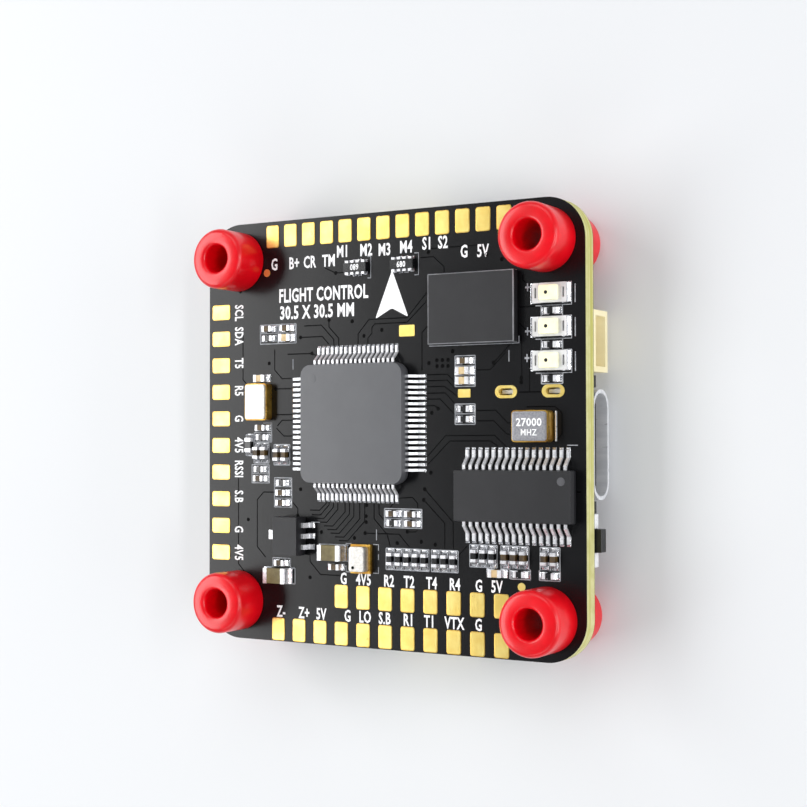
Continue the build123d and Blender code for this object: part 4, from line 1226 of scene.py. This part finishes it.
@dataclass
class Cans(SubAssembly):
    """The two crystals and the barometer."""

    weld_width: float = 0.1
    weld_depth: float = 0.02
    strip_gap: float = 0.16
    strip_width: float = 0.14
    strip_inset: float = 0.05
    vent_place: Point = (-0.38, -0.72)
    vent_radius: float = 0.13

    def build(self) -> None:
        """Dresses the cans and replaces the lids with seam-welded ones."""
        self.cad.dress(Finishes.RIM_GOLD, "mcu_crystal_can", "osd_crystal_can", "barometer_base")
        self.lid("mcu_crystal_lid", Finishes.PALE_LID)
        self.lid("osd_crystal_lid", Finishes.LID)
        self.lid("barometer_lid", Finishes.PALE_LID)
        lid = self.cad.box("osd_crystal_lid")
        words = [Label("27000", lid.centre.x, lid.centre.y + 0.34, 0.64, squeeze=0.98, weight=0.018),
                 Label("MHZ", lid.centre.x, lid.centre.y - 0.48, 0.52, squeeze=0.9, weight=0.008)]
        Bench.letter("crystal_frequency", words, lid.high.z - 0.005, 0.02)
        can = self.cad.box("osd_crystal_can")
        low = Vector((can.high.x + self.strip_gap, can.low.y + self.strip_inset, self.top))
        high = Vector((low.x + self.strip_width, can.high.y - self.strip_inset, self.top + self.strip_width))
        strip = Bench.rounded_block(Block(low, high), 0.06, 0.05, 3)
        Bench.finish(strip, "crystal_solder_strip", Finishes.TIN)
        vent = self.cad.box("barometer_lid")
        middle = Vector((vent.centre.x + self.vent_place[0], vent.centre.y + self.vent_place[1], vent.high.z))
        # A near-black disc on the lid paints the shade inside the vent hole.
        shade_disc = Bench.disc(middle, self.vent_radius, 0.008, 24)
        Bench.finish(shade_disc, "barometer_vent_shadow", Finishes.CAVITY_SHADOW)

    def lid(self, node: str, look: Finishes) -> None:
        """A rounded lid with a shallow seam inside its edge."""
        box = self.cad.box(node)
        piece = Bench.rounded_block(box, 0.24, 0.05, 6)
        with Bench.editing(piece):
            Bench.pick_faces(piece, lambda c, n: n.z > 0.99 and c.z > box.high.z - 0.01)
            bpy.ops.mesh.inset(thickness=self.weld_width)
            bpy.ops.mesh.inset(thickness=self.weld_depth)
            bpy.ops.transform.translate(value=(0, 0, -self.weld_depth))
        Bench.finish(piece, f"{node}_seamed", look, replaces=[node], smooth=25)


@dataclass
class StatusLights(SubAssembly):
    """Three lights with cream lenses over a small dark die."""

    die_radius: float = 0.15
    die_shift: float = 0.13

    def build(self) -> None:
        """Dresses the ceramic, and shapes each lens with a bevelled crown."""
        self.cad.dress(Finishes.CERAMIC, "led_bases", "led_terminals")
        lenses, dies = [], []
        for lens in self.cad.solids("led_lenses"):
            lenses.append(Bench.rounded_block(lens, 0.1, 0.07, 3))
            middle = Vector((lens.centre.x - self.die_shift, lens.centre.y, lens.high.z))
            dies.append(Bench.disc(middle, self.die_radius, 0.006))
        Bench.finish(Bench.join(lenses), "light_lenses", Finishes.LENS, replaces=["led_lenses"])
        Bench.finish(Bench.join(dies), "light_dies", Finishes.DIE)


@dataclass
class EdgeParts(SubAssembly):
    """The USB socket, the wire connectors and the boot button."""

    def build(self) -> None:
        """Dresses the CAD shapes."""
        dress = self.cad.dress
        dress(Finishes.STEEL, "usb_c_shell", "boot_switch_dome")
        dress(Finishes.PLATE, "boot_switch_cover")
        dress(Finishes.BLACK, "usb_c_tongue", "boot_switch_base", "boot_switch_plunger")
        dress(Finishes.CONTACT, "usb_c_contacts")
        dress(Finishes.NYLON, "signal_connector_housing", "esc_connector_housing", "video_connector_housing")
        dress(Finishes.PIN_TIN, "signal_connector_pins", "esc_connector_pins", "video_connector_pins")


# ---- studio
@dataclass
class Studio:
    """The camera, the soft lights and the pale floor."""

    camera_place: tuple[float, float, float] = (0.066456, -0.000755, 0.114659)
    camera_turn: tuple[float, float, float] = (1.28356, 30.53908, -0.11795)
    lens: float = 66.90
    lights: tuple[tuple[str, tuple[float, float, float], tuple[float, float], float], ...] = (
        ("left_panel", (-0.27, 0.02, 0.235), (0.44, 0.18), 1.25),
        ("top_panel", (0.02, 0.30, 0.26), (0.34, 0.20), 0.40),
        ("right_strip", (0.28, -0.03, 0.22), (0.30, 0.03), 0.36),
        ("right_low", (0.20, -0.01, 0.045), (0.16, 0.05), 0.16),
        ("rear_fill", (0.0, -0.34, 0.22), (0.30, 0.16), 0.24),
    )
    room: Colour = (0.9, 0.95, 1.0, 1.0)
    room_strength: float = 0.24

    def build(self) -> None:
        """Sets up the whole studio."""
        self.add_camera()
        for name, place, size, power in self.lights:
            self.add_panel(name, place, size, power)
        world = bpy.data.worlds.new("soft_room")
        world.use_nodes = True
        backdrop = world.node_tree.nodes["Background"]
        backdrop.inputs["Color"].default_value = self.room
        backdrop.inputs["Strength"].default_value = self.room_strength
        bpy.context.scene.world = world
        bpy.context.scene.view_settings.view_transform = "Standard"
        self.add_floor()

    def add_camera(self) -> None:
        """The camera, looking down at the board from its USB side."""
        data = bpy.data.cameras.new("camera")
        data.lens, data.sensor_width = self.lens, 36.0
        data.clip_start, data.clip_end = 0.005, 10.0
        camera = bpy.data.objects.new("camera", data)
        camera.location = self.camera_place
        camera.rotation_euler = [math.radians(angle) for angle in self.camera_turn]
        bpy.context.scene.collection.objects.link(camera)
        bpy.context.scene.camera = camera

    @staticmethod
    def add_panel(name: str, place: Sequence[float], size: Sequence[float], power: float) -> None:
        """A soft rectangular light that faces the board."""
        data = bpy.data.lights.new(name, "AREA")
        data.shape, data.size, data.size_y, data.energy = "RECTANGLE", size[0], size[1], power
        panel = bpy.data.objects.new(name, data)
        panel.location = place
        panel.rotation_euler = (-Vector(place)).to_track_quat("-Z", "Y").to_euler()
        bpy.context.scene.collection.objects.link(panel)

    @staticmethod
    def add_floor() -> None:
        """A plain pale floor under the grommets."""
        floor = Bench.add(bpy.ops.mesh.primitive_plane_add, size=20.0)
        floor.name = "floor"
        graph = Graph("pale_floor")
        place = graph.place((0.001, 0.001, 0.001))
        tint = graph.mix(graph.noise(place, 6.0), (0.70, 0.71, 0.73, 1), (0.76, 0.77, 0.78, 1))
        distance = graph.signal("VectorMath", "Value", {0: place}, operation="LENGTH")
        painted_glow = graph.ramp(distance, 0.12, 0.75) * 0.6 + 0.06
        floor.data.materials.append(graph.surface({
            "Base Color": tint, "Roughness": 0.7, "Emission Color": tint, "Emission Strength": painted_glow}))


def main() -> None:
    """Builds the studio and every sub-assembly round the CAD model."""
    logging.basicConfig(level=logging.INFO, format="%(message)s")
    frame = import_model()
    bpy.ops.object.select_all(action="DESELECT")
    Studio().build()
    cad = CadModel(frame["nodes"])
    for group in (MaskedBoard, Legend, SolderPads, Grommets, SolderJoints, Chips, Cans, StatusLights,
                  EdgeParts):
        log.info("building %s", group.__name__)
        group(cad).build()
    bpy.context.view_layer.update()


if __name__ == "__main__":
    main()
